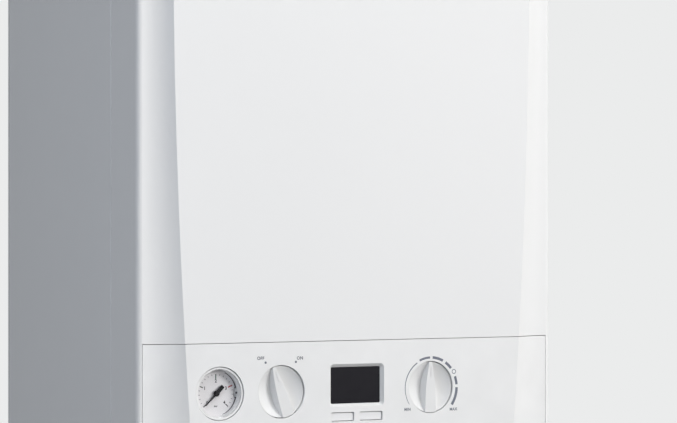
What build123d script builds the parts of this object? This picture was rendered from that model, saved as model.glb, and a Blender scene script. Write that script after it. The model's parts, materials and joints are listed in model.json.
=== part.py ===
from build123d import *
from math import acos, cos, degrees, radians, sin
import os

# A wall-hung combination boiler: painted casing, hinged control box, condensing heat exchanger with
# its premix fan, expansion vessel and hydraulics. Millimetres. The wall is the plane y = 0 and the
# front faces -Y. A "depth" is a distance from the wall, so a depth d lies at y = -d. Height 0 is the
# casing's lower edge, and x = 0 is its middle.

os.makedirs("parts", exist_ok=True)

# ---- driving dimensions ---------------------------------------------------------------------------

# Casing
CASE_W = 395.0  # across the side panels
CASE_H = 700.0  # casing alone, without flue collar and pipe tails
CASE_D = 268.0  # wall to the flat margin of the front
CROWN = 10.0  # raised centre of the front, above that margin
FLANK_W = 27.5  # crease to the outside of the casing, where the raised centre is widest
CREASE_Z = 468.0  # height of that widest place
CREASE_R = 5700.0  # radius of the two creases that bound it
CREASE_IN = 0.3  # shift of the inner creases for each millimetre of wall
SKIN = 1.2  # painted sheet steel
CORNER_R = 4.5  # upright front corners
RETURN_D = 50.0  # depth of the front panel's sides
SEAM = 1.0  # gap between neighbouring covers
PANEL_GAP = 0.5  # seam of the front panel round the control fascia
LIP = 5.0  # inward fold along the front panel's rear edge
FLANGE = 16.5  # inward fold of the side panels
FOLD_R = 1.0  # outside radius of their folds
STUD_R = 2.0  # neck of the ball studs
BALL_R = 3.0
BALL_REACH = 9.0  # ball behind the front panel's lip
CLIP_GAP = 0.3  # round the ball
STUD_LOW = 160.0  # height of the lower ball studs
STUD_DROP = 60.0  # upper ball studs below the top
STUD_INSET = 9.5  # from the outside of the casing

# Wall bracket and back plate
PLATE = 1.5  # back plate sheet
PLATE_DROP = 12.0  # back plate below the casing
BRACKET_T = 2.5
BRACKET_W = 320.0
BRACKET_DROP = 25.5  # shelf that carries the boiler, below the top
BRACKET_H = 34.0
SCREW_SPACING = 240.0
SCREW_R = 4.0
HOOK_D = 6.5  # depth of the bracket's hook
HOOK_H = 7.5
POCKET_D = 14.0  # room for the screw heads
POCKET_SIDE = 6.0  # pocket beyond the bracket
BEAD_L = 380.0  # pressed stiffening beads
BEAD_W = 14.0
BEAD_D = 3.0
BEAD_SIDE = 45.5  # their middle lines to the outside of the casing
BEAD_DROP = 110.0  # their middles below the exchanger's axis

# Flue
EXHAUST_R = 30.0  # socket for a 60 mm exhaust pipe
EXHAUST_T = 1.1  # wall of that pipe
AIR_R = 50.0  # outside of the collar that takes a 100 mm air pipe
COLLAR_H = 12.0  # collar above its flange
COLLAR_T = 3.0
COLLAR_FLANGE = 20.0
SOCKET_L = 50.0
DUCT_GRIP = 25.0  # duct inside its sockets
FLUE_WALL = 2.0
FLUE_SET = 1.1  # exhaust duct in front of the exchanger's rear
BOSS_WALL = 4.0  # round the duct's lower end
SLIP = 0.1  # radial clearance of sealed sockets

# Control fascia and box
FASCIA_H = 117.0
FASCIA_SIDE = 5.0  # fascia's edge to the outside of the casing
FASCIA_WALL = 3.0
FASCIA_RIM = 10.0  # depth of the fascia's turned edge
DIAL_DROP = 40.7  # gauge and knobs below the fascia's upper edge
DIAL_PITCH = 56.4  # gauge to mode knob
GAUGE_SIDE = 69.8  # gauge's axis to the outside of the casing
KNOB_R = 21.4
KNOB_GAP = 0.6
KNOB_T = 12.0
KNOB_SINK = 1.6  # rim behind the face of the fascia
KNOB_EDGE = 0.3  # rounding of the rim
KNOB_RIM = 1.0
KNOB_PLAY = 0.6  # behind the knob
WELL_T = 2.0  # floor and wall of the knobs' wells
DISH = 5.6  # depth of the dish beside the ridge
RIDGE_TIP = 2.2
RIDGE_MID = 7.8
RIDGE_TAIL = 10.2
RIDGE_DRAFT = 18.0
MODE_REST = 19.0  # degrees to the left of upright
POINTER_L = 9.0
POINTER_W = 0.9
POINTER_T = 0.4
STEM_R = 3.0
STEM_L = 24.0
RUNNING = 0.05  # radial clearance of turning parts
DISPLAY_DROP = 37.1  # middle of the display below the fascia's upper edge
DISPLAY_W = 51.9
DISPLAY_H = 35.6
DISPLAY_BEVEL = 2.5
DISPLAY_SINK = 3.0
WINDOW_T = 2.0
BUTTON_SET = 13.55  # each button to the middle of the display above them
BUTTON_DROP = 63.1
BUTTON_W = 21.0
BUTTON_H = 6.6
BUTTON_GAP = 0.5
BUTTON_SINK = 1.2
BUTTON_L = 19.0
BUTTON_TRAVEL = 1.2
PIVOT_SET = 22.0  # control box's hinge behind the flat margin
PIVOT_Z = 20.0
PIVOT_R = 3.0
LUG_T = 5.0
LUG_R = 7.0
LUG_SIDE = 17.5  # lug's outer face to the outside of the casing
ARM_T = 3.0
BOX_SIDE = 39.5  # control housing to the outside of the casing
BOX_LOW = 8.0
BOX_DROP = 13.0  # its top below the fascia's upper edge
BOX_DEPTH = 65.0  # its rear behind the flat margin
BOX_LAP = 6.0  # its front edge inside the fascia's turned edge
BOX_WALL = 2.2
COVER_T = 2.0
BOARD_SET = 33.0  # circuit board behind the flat margin
BOARD_T = 1.6
BOARD_GAUGE = 29.7  # board's left edge to the gauge's axis
BOARD_SIDE = 20.0  # board's right edge to the housing
LEDGE = 4.0
TRANSFORMER = (40.0, 34.0)
TRANSFORMER_GAP = 6.0  # to the rear cover
RELAY_COUNT = 3
RELAY_PITCH = 22.0
RELAY = (19.0, 15.0, 16.0)  # width, height, thickness
PLUG_COUNT = 5
PLUG_PITCH = 26.0
PLUG = (22.0, 10.0, 12.0)
SWITCH_R = 9.0
SWITCH_L = 15.0

# Gauge
GAUGE_R = 21.5
GAUGE_GAP = 0.6
BEZEL_R = 19.2  # opening of the bezel
GAUGE_SINK = 1.0
DIAL_SINK = 8.5
DIAL_T = 0.8
LENS_T = 1.0
GAUGE_BODY = 32.0
NEEDLE_L = 14.2
NEEDLE_TAIL = 8.2
CAPILLARY_R = 1.5

# Expansion vessel, heat exchanger and burner
VESSEL_R = 160.0
VESSEL_BACK = 11.0
VESSEL_DROP = 250.0  # its axis below the top of the casing
VESSEL_WALL = 1.5
CRIMP = 5.0
VESSEL_ROUND = 22.0
FRONT_ROOM = 15.5  # mixture duct to the depth of the front's flat margin
SHELL_R = 105.0
SHELL_T = 3.0
SHELL_GAP = 5.0  # vessel to exchanger
SHELL_D = 107.0
SHELL_FLANGE = 12.0
EXCHANGER_DROP = 230.0  # its axis below the top of the casing
COIL_R = 80.0
COIL_W = 15.0
COIL_T = 8.0
COIL_LOOPS = 5  # whole turns, and half a turn more
COIL_START = 18.0  # first turn to the shell's rear
COIL_END = 23.0  # last turn to the shell's front
BURNER_R = 30.0
BURNER_L = 78.0
BURNER_FLANGE = 10.0
GASKET_T = 1.5
DOOR_T = 8.0
NUT_COUNT = 6
NUT_R = 5.5
PIPE_R = 9.0  # inner heating pipes
PIPE_WALL = 1.0
PORT_R = 13.0
DRAIN_X = 30.0

# Fan, mixer and gas valve
IMPELLER_R = 34.0
IMPELLER_T = 28.0
BLADES = 12
FAN_GAP = 68.0  # fan's axis below the exchanger's flange
FAN_LAP = 29.0  # fan's rear behind the burner door's front
FAN_T = 45.0
FAN_WALL = 2.5
TONGUE_X = 23.4  # left wall of the fan's outlet, from its axis
OUTLET_RISE = 51.0  # outlet above the fan's axis
MANIFOLD_D = 36.0
MANIFOLD_T = 3.0
MOTOR_R = 33.0
MOTOR_L = 26.0
THROAT_R = 18.0
VENTURI_L = 62.0
GAS_R = 9.0
VALVE_DROP = 63.0  # top of the gas valve below the fan's axis
VALVE_W = 56.0
VALVE_D = 52.0
VALVE_H = 47.0

# Hydraulics
PORT_SET = 97.0  # row of connections behind the side panels' front edge
PITCH = 65.0  # from one connection to the next
TAIL_22 = 11.0
TAIL_15 = 7.5
THREAD_22 = 13.2  # G 3/4
THREAD_15 = 10.45  # G 1/2
LINER = 0.8  # of the tails inside their nuts
SPIGOT_TOP = -2.0  # plain ends of the condensate and relief pipes
SPIGOT_STEP = 1.0
TAIL_END = -40.0
NUT_TOP = -4.0
NUT_H = 16.0
THREAD_END = -12.0
HEADER_Z = 70.0
HEADER_R = 17.0
HEADER_END = 22.0  # header beyond its outer connection
EXCHANGE_X = 78.0  # ports of the plate exchanger
EXCHANGE_RISE = 42.0
EXCHANGE_MARGIN = 18.0
EXCHANGE_BACK = 32.0
PLATES = 14
PLATE_PITCH = 3.0
PLATE_T = 2.2
CHAMBER_R = 20.0
CHAMBER_RISE = 20.0  # above the upper arm
RISER_SET = 35.0  # riser inside the outer connection
RISER_R = 11.0
RISER_RISE = 23.0  # above the upper arm
PUMP_SET = 15.0  # pump inside the outer connection
NECK_RISE = 12.0  # pump's neck above the upper arm
NECK_L = 4.0
PUMP_R = 44.0
PUMP_LAP = 24.0  # pump's rear behind the connections
PUMP_PORT = (12.0, 13.0)  # rear port, from the pump's axis
PUMP_T = 42.0
PUMP_WALL = 6.0
ROTOR_R = 30.0
VANES = 6
PUMP_MOTOR_R = 41.0
PUMP_MOTOR_L = 58.0
VENT_SET = 49.0  # air vent beside the pump
TRAP_R = 24.0
TRAP_SIDE = 37.5  # trap's axis to the outside of the casing
TRAP_COLLAR = 2.5
TRAP_SET = 60.0  # trap's axis behind the connections
TRAP_LOW = 60.0
TRAP_HIGH = 190.0
CONDENSATE_R = 10.75
HOSE_R = 8.0
RELIEF_SET = 15.0  # relief valve outside the outer connection
RELIEF_OUT = 37.0  # relief valve in front of the connections
RELIEF_DROP = 24.0  # its outlet below the header
RELIEF_KNOB_R = 14.0
RELIEF_KNOB_T = 18.0
GLAND_SIDE = 32.5  # cable's hole to the outside of the casing
GLAND_SET = 42.0  # cable's hole behind the side panels' front edge
GLAND_R = 8.0

# ---- places that follow from them -----------------------------------------------------------------

HALF_W = CASE_W / 2
CREASE_X = HALF_W - FLANK_W  # half width of the raised centre at its widest
FACE_D = CASE_D + CROWN  # the raised centre of the front
FACE_IN = FACE_D - FASCIA_WALL
SIDE_FRONT = CASE_D - RETURN_D  # rear edge of the front panel
SIDE_END = SIDE_FRONT - SEAM  # front edge of the side panels
SEAM_Z = FASCIA_H + PANEL_GAP
FASCIA_X = HALF_W - FASCIA_SIDE
FASCIA_BACK = CASE_D - FASCIA_RIM
OPENING_X = FASCIA_X + PANEL_GAP
STUD_X = HALF_W - STUD_INSET
STUDS = [(side * STUD_X, z) for side in (-1, 1) for z in (STUD_LOW, CASE_H - STUD_DROP)]
BRACKET_TOP = CASE_H - BRACKET_DROP
LUG_X = HALF_W - LUG_SIDE
ARM_X = LUG_X + 1.5 * SEAM
PIVOT_D = CASE_D - PIVOT_SET
BOX_X = HALF_W - BOX_SIDE
BOX_HIGH = FASCIA_H - BOX_DROP
BOX_BACK = CASE_D - BOX_DEPTH
BOX_FRONT = CASE_D - BOX_LAP
DIAL_Z = FASCIA_H - DIAL_DROP
GAUGE_X = GAUGE_SIDE - HALF_W
MODE_X = GAUGE_X + DIAL_PITCH
TEMPERATURE_X = -MODE_X
KNOBS = ((MODE_X, DIAL_Z), (TEMPERATURE_X, DIAL_Z))
KNOB_HOLE = KNOB_R + KNOB_GAP
KNOB_FRONT = FACE_D - KNOB_SINK
KNOB_BACK = KNOB_FRONT - KNOB_T
WELL_FLOOR = KNOB_BACK - KNOB_PLAY
BUTTON_Z = FASCIA_H - BUTTON_DROP
BUTTONS = ((-BUTTON_SET, BUTTON_Z), (BUTTON_SET, BUTTON_Z))
BUTTON_FRONT = FACE_D - BUTTON_SINK
BUTTON_BACK = BUTTON_FRONT - BUTTON_L
DISPLAY_Z = FASCIA_H - DISPLAY_DROP
WINDOW_FRONT = FACE_D - DISPLAY_SINK
WINDOW_W = DISPLAY_W - 2 * DISPLAY_BEVEL
WINDOW_H = DISPLAY_H - 2 * DISPLAY_BEVEL
DIAL_BACK = FACE_D - DIAL_SINK
GAUGE_BACK = FACE_D - GAUGE_BODY
BOARD_D = CASE_D - BOARD_SET
BOARD_FRONT = BOARD_D + BOARD_T
BOARD_LEFT = GAUGE_X + BOARD_GAUGE
BOARD_RIGHT = BOX_X - BOARD_SIDE
DOOR_FRONT = CASE_D - FRONT_ROOM - MANIFOLD_D
DOOR_BACK = DOOR_FRONT - DOOR_T
SHELL_FRONT = DOOR_BACK - GASKET_T
SHELL_BACK = SHELL_FRONT - SHELL_D
VESSEL_FRONT = SHELL_BACK - SHELL_GAP  # the vessel takes the depth that is left
VESSEL_T = VESSEL_FRONT - VESSEL_BACK
VESSEL_Z = CASE_H - VESSEL_DROP
VESSEL_PORT = (20.0, VESSEL_BACK + 0.72 * VESSEL_T)
VESSEL_LOW = VESSEL_Z - VESSEL_R - 15.0  # end of its port
EXCHANGER_Z = CASE_H - EXCHANGER_DROP
FLANGE_R = SHELL_R + SHELL_FLANGE
BOLT_R = FLANGE_R - 6.5
ELECTRODE = (-0.5 * COIL_R, EXCHANGER_Z + 0.38 * COIL_R)
COIL_BACK = SHELL_BACK + COIL_START
COIL_FRONT = SHELL_FRONT - COIL_END
COIL_PITCH = (COIL_FRONT - COIL_BACK) / (COIL_LOOPS + 0.5)
PORT_Z = EXCHANGER_Z - SHELL_R + 10.0  # lower ends of the exchanger's ports
DRAIN_Z = EXCHANGER_Z - SHELL_R - 13.0
BEAD_X = HALF_W - BEAD_SIDE
BEAD_Z = EXCHANGER_Z - BEAD_DROP
DUCT_R = EXHAUST_R - EXHAUST_T
BOSS_R = DUCT_R + SLIP + BOSS_WALL
BOSS_TOP = EXCHANGER_Z + SHELL_R + DUCT_GRIP
FLUE_D = SHELL_BACK + DUCT_R + FLUE_SET
COLLAR_TOP = CASE_H + COLLAR_T + COLLAR_H
SOCKET_END = COLLAR_TOP - SOCKET_L
FAN_Z = EXCHANGER_Z - FLANGE_R - FAN_GAP
FAN_BACK = DOOR_FRONT - FAN_LAP
FAN_FRONT = FAN_BACK + FAN_T
SCROLL = [(IMPELLER_R + gap) for gap in (28.0, 20.0, 13.0, 7.0)]  # radii, a quarter turn each
SCROLL_SHIFT = (4.0, 3.0)  # centre of the first quarter, from the fan's axis
OUTLET_RIGHT = SCROLL_SHIFT[0] + SCROLL[0]
OUTLET_HALF = (OUTLET_RIGHT - TONGUE_X) / 2
FAN_X = -(OUTLET_RIGHT + TONGUE_X) / 2  # so that the outlet stands in the middle
OUTLET_Z = FAN_Z + OUTLET_RISE
THROAT_D = FAN_BACK - 0.6 * VENTURI_L
VALVE_TOP = FAN_Z - VALVE_DROP
VALVE_LOW = VALVE_TOP - VALVE_H
PORT_D = SIDE_END - PORT_SET
HEADER_X = 2 * PITCH + HEADER_END
UPPER_Z = HEADER_Z + EXCHANGE_RISE
EXCHANGE_FRONT = EXCHANGE_BACK + PLATES * PLATE_PITCH
CHAMBER_TOP = UPPER_Z + CHAMBER_RISE
RISER_X = 2 * PITCH - RISER_SET
RISER_TOP = UPPER_Z + RISER_RISE
NECK_Z = UPPER_Z + NECK_RISE
PUMP_X = 2 * PITCH - PUMP_SET
PUMP_Z = NECK_Z + NECK_L + PUMP_R
PUMP_TOP = PUMP_Z + PUMP_R + 3 * NECK_L
PUMP_BACK = PORT_D - PUMP_LAP
PUMP_FRONT = PUMP_BACK + PUMP_T
PUMP_PORT_X = PUMP_X + PUMP_PORT[0]
PUMP_PORT_Z = PUMP_Z + PUMP_PORT[1]
VENT_X = PUMP_X - VENT_SET
TRAP_X = TRAP_SIDE - HALF_W
TRAP_D = PORT_D - TRAP_SET
RELIEF_X = 2 * PITCH + RELIEF_SET
RELIEF_D = PORT_D + RELIEF_OUT
RELIEF_LOW = HEADER_Z - RELIEF_DROP
GLAND_X = HALF_W - GLAND_SIDE
GLAND_D = SIDE_END - GLAND_SET
NUT_LOW = NUT_TOP - NUT_H
CONNECTIONS = [
    (-2 * PITCH, TAIL_22, THREAD_22),  # heating flow
    (-PITCH, TAIL_15, THREAD_15),  # hot water
    (0.0, TAIL_22, THREAD_22),  # gas
    (PITCH, TAIL_15, THREAD_15),  # cold water
    (2 * PITCH, TAIL_22, THREAD_22),  # heating return
]
BASE = (Align.CENTER, Align.CENTER, Align.MIN)


def facing(depth):
    """Plane parallel to the wall, seen from the front: x to the right, y up, z towards the front."""
    return Plane.XZ.offset(depth)


def level(height):
    """Horizontal plane, seen from above: the front is at -y."""
    return Plane.XY.offset(height)


def side_on(x):
    """Upright plane from wall to front: its x is the boiler's y, its y is up."""
    return Plane.YZ.offset(x)


def turning(x, z):
    """Plane for profiles turned about an axis from wall to front: x is the depth, y the radius."""
    return Plane(origin=(x, 0, z), x_dir=(0, -1, 0), z_dir=(-1, 0, 0))


def through(x, z):
    """The axis that such profiles are turned about."""
    return Axis((x, 0, z), (0, -1, 0))


def write(builder, node):
    """Label a finished piece and write it to its own file."""
    builder.part.label = node
    export_step(builder.part, f"parts/{node}.step")


def slab(xs, depths, heights, mode=Mode.ADD):
    """Box between two x, two depths and two heights, in the running part."""
    centre = ((xs[0] + xs[1]) / 2, -(depths[0] + depths[1]) / 2, (heights[0] + heights[1]) / 2)
    with Locations(centre):
        Box(xs[1] - xs[0], depths[1] - depths[0], heights[1] - heights[0], mode=mode)


def rod(start, end, radius):
    """Straight round bar between two points."""
    run = Vector(*end) - Vector(*start)
    with BuildPart(Plane(origin=start, z_dir=run.normalized())) as bar:
        Cylinder(radius, run.length, align=BASE)
    return bar.part


def bent_tube(points, bends, outer_r, bore_r=0.0):
    """Round tube along straight runs joined by tangent arcs."""
    with BuildPart() as tube:
        with BuildLine() as route:
            FilletPolyline(*points, radius=bends)
        with BuildSketch(Plane(origin=route.line @ 0, z_dir=route.line % 0)):
            Circle(outer_r)
            if bore_r:
                Circle(bore_r, mode=Mode.SUBTRACT)
        sweep()
    return tube


# ---- casing ---------------------------------------------------------------------------------------


def crease_x(height):
    """Half width of the raised centre at a height: the creases are long shallow arcs."""
    return CREASE_X - (height - CREASE_Z) ** 2 / (2 * CREASE_R)


def front_form(inset, back, low, high):
    """The boiler's front as a solid from a depth forwards, shrunk by a wall.

    Each section runs up one side, round the corner, along the cove to the crease and straight across.
    """
    flat = CASE_D - inset
    side = HALF_W - inset
    edge = HALF_W - CORNER_R
    corner = CORNER_R - inset
    with BuildPart() as form:
        for height in (low, (low + high) / 2, high):
            crease = crease_x(height) - CREASE_IN * inset
            with BuildSketch(level(height)):
                with BuildLine():
                    Line((-side, -back), (-side, corner - flat))
                    TangentArc((-side, corner - flat), (-edge, -flat), tangent=(0, -1))
                    TangentArc((-edge, -flat), (-crease, -flat - CROWN), tangent=(1, 0))
                    Line((-crease, -flat - CROWN), (crease, -flat - CROWN))
                    TangentArc((edge, -flat), (crease, -flat - CROWN), tangent=(-1, 0))
                    TangentArc((side, corner - flat), (edge, -flat), tangent=(0, -1))
                    Line((side, corner - flat), (side, -back))
                    Line((side, -back), (-side, -back))
                make_face()
        loft()
    return form.part


def make_front_panel():
    """One pressing: face with its raised centre, sides, top and the folds along its edges."""
    outside = front_form(0, SIDE_FRONT, 0, CASE_H)
    inside = front_form(SKIN, SIDE_FRONT - SKIN, -SKIN, CASE_H - SKIN)
    fold = front_form(SKIN, CASE_D - FLANGE, SEAM_Z, SEAM_Z + SKIN)
    lip_low, lip_high = SEAM_Z + LIP, CASE_H - LIP
    inner = HALF_W - SKIN
    with BuildPart() as front_panel:
        add(outside)
        add(inside, mode=Mode.SUBTRACT)
        slab((-OPENING_X, OPENING_X), (CASE_D - FLANGE, FACE_D + SEAM), (-SKIN, SEAM_Z), Mode.SUBTRACT)
        add(fold)
        with BuildSketch(facing(SIDE_FRONT)):
            for side in (-1, 1):
                with Locations((side * (inner - LIP / 2), (lip_low + lip_high) / 2)):
                    Rectangle(LIP, lip_high - lip_low)
            for x, z in STUDS:
                with Locations((x + (SKIN - STUD_INSET + FLANGE / 2) * (-1 if x > 0 else 1), z)):
                    Rectangle(FLANGE, FLANGE)
            with Locations(*STUDS):
                Circle(STUD_R, mode=Mode.SUBTRACT)
        extrude(amount=SKIN)
    write(front_panel, "front_panel")


def make_panel_studs():
    """Ball studs riveted to the front panel's tabs, pointing back at the spring clips."""
    ball_d = SIDE_FRONT - BALL_REACH
    with BuildPart(facing(0)) as panel_studs:
        for x, z in STUDS:
            with Locations((x, z, SIDE_FRONT + SKIN)):
                Cylinder(2 * STUD_R, STUD_R / 2, align=BASE)
            with Locations((x, z, ball_d)):
                Cylinder(STUD_R, SIDE_FRONT + SKIN - ball_d, align=BASE)
                Sphere(BALL_R)
    write(panel_studs, "panel_studs")


def make_spring_clips():
    """Slotted collets behind the side panels' folds, which grip the ball studs."""
    back = SIDE_FRONT - BALL_REACH - 2 * BALL_R
    front = SIDE_END - SKIN
    with BuildPart(facing(0)) as spring_clips:
        for x, z in STUDS:
            with Locations((x, z, back)):
                Cylinder(BALL_R + 2.2, front - back, align=BASE)
            with Locations((x, z, front - SKIN)):
                Cylinder(BALL_R + 4.0, SKIN, align=BASE)
            with Locations((x, z, back)):
                Cylinder(BALL_R + CLIP_GAP, front - back, align=BASE, mode=Mode.SUBTRACT)
                with Locations((0, 0, 0)):
                    Box(3 * BALL_R + 4.0, 1.0, front - back - 2 * SKIN, align=BASE, mode=Mode.SUBTRACT)
                    Box(1.0, 3 * BALL_R + 4.0, front - back - 2 * SKIN, align=BASE, mode=Mode.SUBTRACT)
    write(spring_clips, "spring_clips")


def make_side_panel(side, node):
    """Side of the casing: a sheet folded inwards at the back and the front."""
    middle = -(SIDE_END + PLATE) / 2
    run = SIDE_END - PLATE
    with BuildPart() as side_panel:
        with BuildSketch(level(0)):
            with Locations((side * (HALF_W - FLANGE / 2), middle)):
                Rectangle(FLANGE, run)
            with Locations((side * (HALF_W - SKIN - FLANGE / 2), middle)):
                Rectangle(FLANGE, run - 2 * SKIN, mode=Mode.SUBTRACT)
        extrude(amount=CASE_H - SKIN)
        outer = side_panel.edges().filter_by(Axis.Z).group_by(Axis.X)[-1 if side > 0 else 0]
        fillet(outer, FOLD_R)
        with BuildSketch(facing(SIDE_END - SKIN)):
            with Locations(*STUDS):
                Circle(BALL_R + 1.5)
        extrude(amount=SKIN, mode=Mode.SUBTRACT)
    write(side_panel, node)


def make_back_plate():
    """Rear wall of the chassis, with the pocket that hangs on the wall bracket and two beads."""
    height = CASE_H + PLATE_DROP
    pocket_x = BRACKET_W / 2 + POCKET_SIDE
    pocket_low = BRACKET_TOP - BRACKET_H - POCKET_SIDE
    pocket_high = BRACKET_TOP + HOOK_H + 2.0
    with BuildPart() as back_plate:
        with BuildSketch(facing(0)):
            with Locations((0, height / 2 - PLATE_DROP)):
                Rectangle(CASE_W, height)
        extrude(amount=PLATE)
        with BuildSketch(facing(0)):
            with Locations((0, (pocket_low + pocket_high) / 2)):
                RectangleRounded(2 * (pocket_x + PLATE), pocket_high - pocket_low + 2 * PLATE, POCKET_SIDE)
        extrude(amount=POCKET_D + PLATE)
        slab((-pocket_x, pocket_x), (PLATE, POCKET_D), (pocket_low, pocket_high), Mode.SUBTRACT)
        slab((-pocket_x, pocket_x), (0, PLATE), (pocket_low, BRACKET_TOP), Mode.SUBTRACT)
        for shrink, depth, mode in ((0, PLATE, Mode.ADD), (PLATE, 0, Mode.SUBTRACT)):
            with BuildSketch(facing(depth)):
                with Locations((-BEAD_X, BEAD_Z), (BEAD_X, BEAD_Z)):
                    SlotOverall(BEAD_L - 2 * shrink, BEAD_W - 2 * shrink, rotation=90)
            extrude(amount=BEAD_D, mode=mode)
    write(back_plate, "back_plate")


def make_wall_bracket():
    """Rail screwed to the wall: its turned-up hook carries the back plate's edge."""
    low = BRACKET_TOP - BRACKET_H
    under = BRACKET_TOP - BRACKET_T
    with BuildPart() as wall_bracket:
        with BuildSketch(side_on(0)):
            with BuildLine():
                Polyline(
                    (0, low),
                    (0, BRACKET_TOP),
                    (BRACKET_T - HOOK_D, BRACKET_TOP),
                    (BRACKET_T - HOOK_D, BRACKET_TOP + HOOK_H),
                    (-HOOK_D, BRACKET_TOP + HOOK_H),
                    (-HOOK_D, under),
                    (-BRACKET_T, under),
                    (-BRACKET_T, low),
                    close=True,
                )
            make_face()
        extrude(amount=BRACKET_W / 2, both=True)
        with BuildSketch(facing(0)):
            with Locations((0, (low + under) / 2)):
                with GridLocations(SCREW_SPACING, 1, 2, 1):
                    Circle(SCREW_R)
        extrude(amount=BRACKET_T, mode=Mode.SUBTRACT)
    write(wall_bracket, "wall_bracket")


def make_top_panel():
    """Lid of the chassis, with the hole for the flue and a turned-down front edge."""
    with BuildPart() as top_panel:
        with BuildSketch(level(CASE_H - SKIN)):
            with Locations((0, -(SIDE_END + PLATE) / 2)):
                Rectangle(CASE_W, SIDE_END - PLATE)
            with Locations((0, -FLUE_D)):
                Circle(AIR_R + SEAM, mode=Mode.SUBTRACT)
        extrude(amount=SKIN)
        fold_x = HALF_W - FLANGE - SEAM
        slab((-fold_x, fold_x), (SIDE_END - SKIN, SIDE_END), (CASE_H - SKIN - FLANGE, CASE_H - SKIN))
    write(top_panel, "top_panel")


def make_bottom_tray():
    """Floor of the chassis, with a hole for each pipe and the supply cable."""
    back, front = PLATE + SKIN, SIDE_END - SKIN
    fold_x = HALF_W - FLANGE - SEAM
    with BuildPart() as bottom_tray:
        with BuildSketch(level(0)):
            with Locations((0, -(back + front) / 2)):
                Rectangle(2 * (HALF_W - SKIN), front - back)
            for x, _, thread in CONNECTIONS:
                with Locations((x, -PORT_D)):
                    Circle(thread + 1.5, mode=Mode.SUBTRACT)
            for x, depth, radius in (
                (TRAP_X, TRAP_D, CONDENSATE_R),
                (RELIEF_X, RELIEF_D, TAIL_15),
            ):
                with Locations((x, -depth)):
                    Circle(radius + 1.5, mode=Mode.SUBTRACT)
            with Locations((GLAND_X, -GLAND_D)):
                Circle(GLAND_R, mode=Mode.SUBTRACT)
        extrude(amount=SKIN)
        slab((-fold_x, fold_x), (front - SKIN, front), (SKIN, BOX_LOW - 2.0))
    write(bottom_tray, "bottom_tray")


def make_hinge_brackets():
    """Pair of angles on the side panels' folds: their arms carry the control box's pins."""
    arm_r = LUG_R + 1.0
    with BuildPart() as hinge_brackets:
        for side in (-1, 1):
            inner, outer = sorted((side * ARM_X, side * (HALF_W - SKIN - SEAM)))
            slab((inner, outer), (SIDE_END, SIDE_END + BRACKET_T), (PIVOT_Z - 15.0, PIVOT_Z + 25.0))
            with BuildSketch(side_on(side * (ARM_X + (0 if side > 0 else ARM_T)))):
                with Locations((-(SIDE_END + PIVOT_D) / 2, PIVOT_Z)):
                    Rectangle(PIVOT_D - SIDE_END, 2 * arm_r)
                with Locations((-PIVOT_D, PIVOT_Z)):
                    Circle(arm_r)
                    Circle(PIVOT_R + RUNNING, mode=Mode.SUBTRACT)
            extrude(amount=ARM_T)
    write(hinge_brackets, "hinge_brackets")


def make_support_shelf():
    """Sheet across the chassis that carries the heat exchanger by its flue boss."""
    low = EXCHANGER_Z + FLANGE_R + 5.0
    back, front = VESSEL_FRONT + 0.5, SHELL_FRONT - 2.0
    across = (SKIN - HALF_W, HALF_W - SKIN)
    with BuildPart() as support_shelf:
        with BuildSketch(level(low)):
            with Locations((0, -(back + front) / 2)):
                Rectangle(across[1] - across[0], front - back)
            with Locations((0, -FLUE_D)):
                Circle(BOSS_R + SEAM, mode=Mode.SUBTRACT)
        extrude(amount=SKIN)
        for depth in (back, front - SKIN):
            slab(across, (depth, depth + SKIN), (low, low + FLANGE))
    write(support_shelf, "support_shelf")


# ---- flue -----------------------------------------------------------------------------------------


def make_flue_collar():
    """Twin collar on the top panel: exhaust socket inside, air passage round it."""
    low = SOCKET_END - DUCT_GRIP
    with BuildPart() as flue_collar:
        with BuildSketch(level(CASE_H)):
            with Locations((0, -FLUE_D)):
                Circle(AIR_R + COLLAR_FLANGE)
                Circle(AIR_R - FLUE_WALL, mode=Mode.SUBTRACT)
        extrude(amount=COLLAR_T)
        with BuildSketch(level(CASE_H - 2 * COLLAR_T)):
            with Locations((0, -FLUE_D)):
                Circle(AIR_R)
                Circle(AIR_R - FLUE_WALL, mode=Mode.SUBTRACT)
        extrude(amount=COLLAR_TOP - CASE_H + 2 * COLLAR_T)
        with BuildSketch(level(low)):
            with Locations((0, -FLUE_D)):
                Circle(EXHAUST_R + FLUE_WALL)
        extrude(amount=COLLAR_TOP - low)
        web = AIR_R - EXHAUST_R - FLUE_WALL
        with BuildSketch(level(CASE_H)):
            with Locations((0, -FLUE_D)):
                with PolarLocations((AIR_R + EXHAUST_R) / 2, 3, start_angle=90):
                    Rectangle(web, FLUE_WALL)
        extrude(amount=2 * COLLAR_T)
        with Locations((0, -FLUE_D, SOCKET_END)):
            Cylinder(EXHAUST_R, SOCKET_L, align=BASE, mode=Mode.SUBTRACT)
        with Locations((0, -FLUE_D, low)):
            Cylinder(DUCT_R + SLIP, DUCT_GRIP, align=BASE, mode=Mode.SUBTRACT)
    write(flue_collar, "flue_collar")


def make_flue_duct():
    """Exhaust pipe from the heat exchanger's boss up into the collar."""
    low, high = BOSS_TOP - DUCT_GRIP + 4.0, SOCKET_END - SEAM
    with BuildPart() as flue_duct:
        with BuildSketch(level(low)):
            with Locations((0, -FLUE_D)):
                Circle(DUCT_R)
                Circle(DUCT_R - FLUE_WALL, mode=Mode.SUBTRACT)
        extrude(amount=high - low)
    write(flue_duct, "flue_duct")


# ---- heat exchanger and burner --------------------------------------------------------------------


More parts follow.
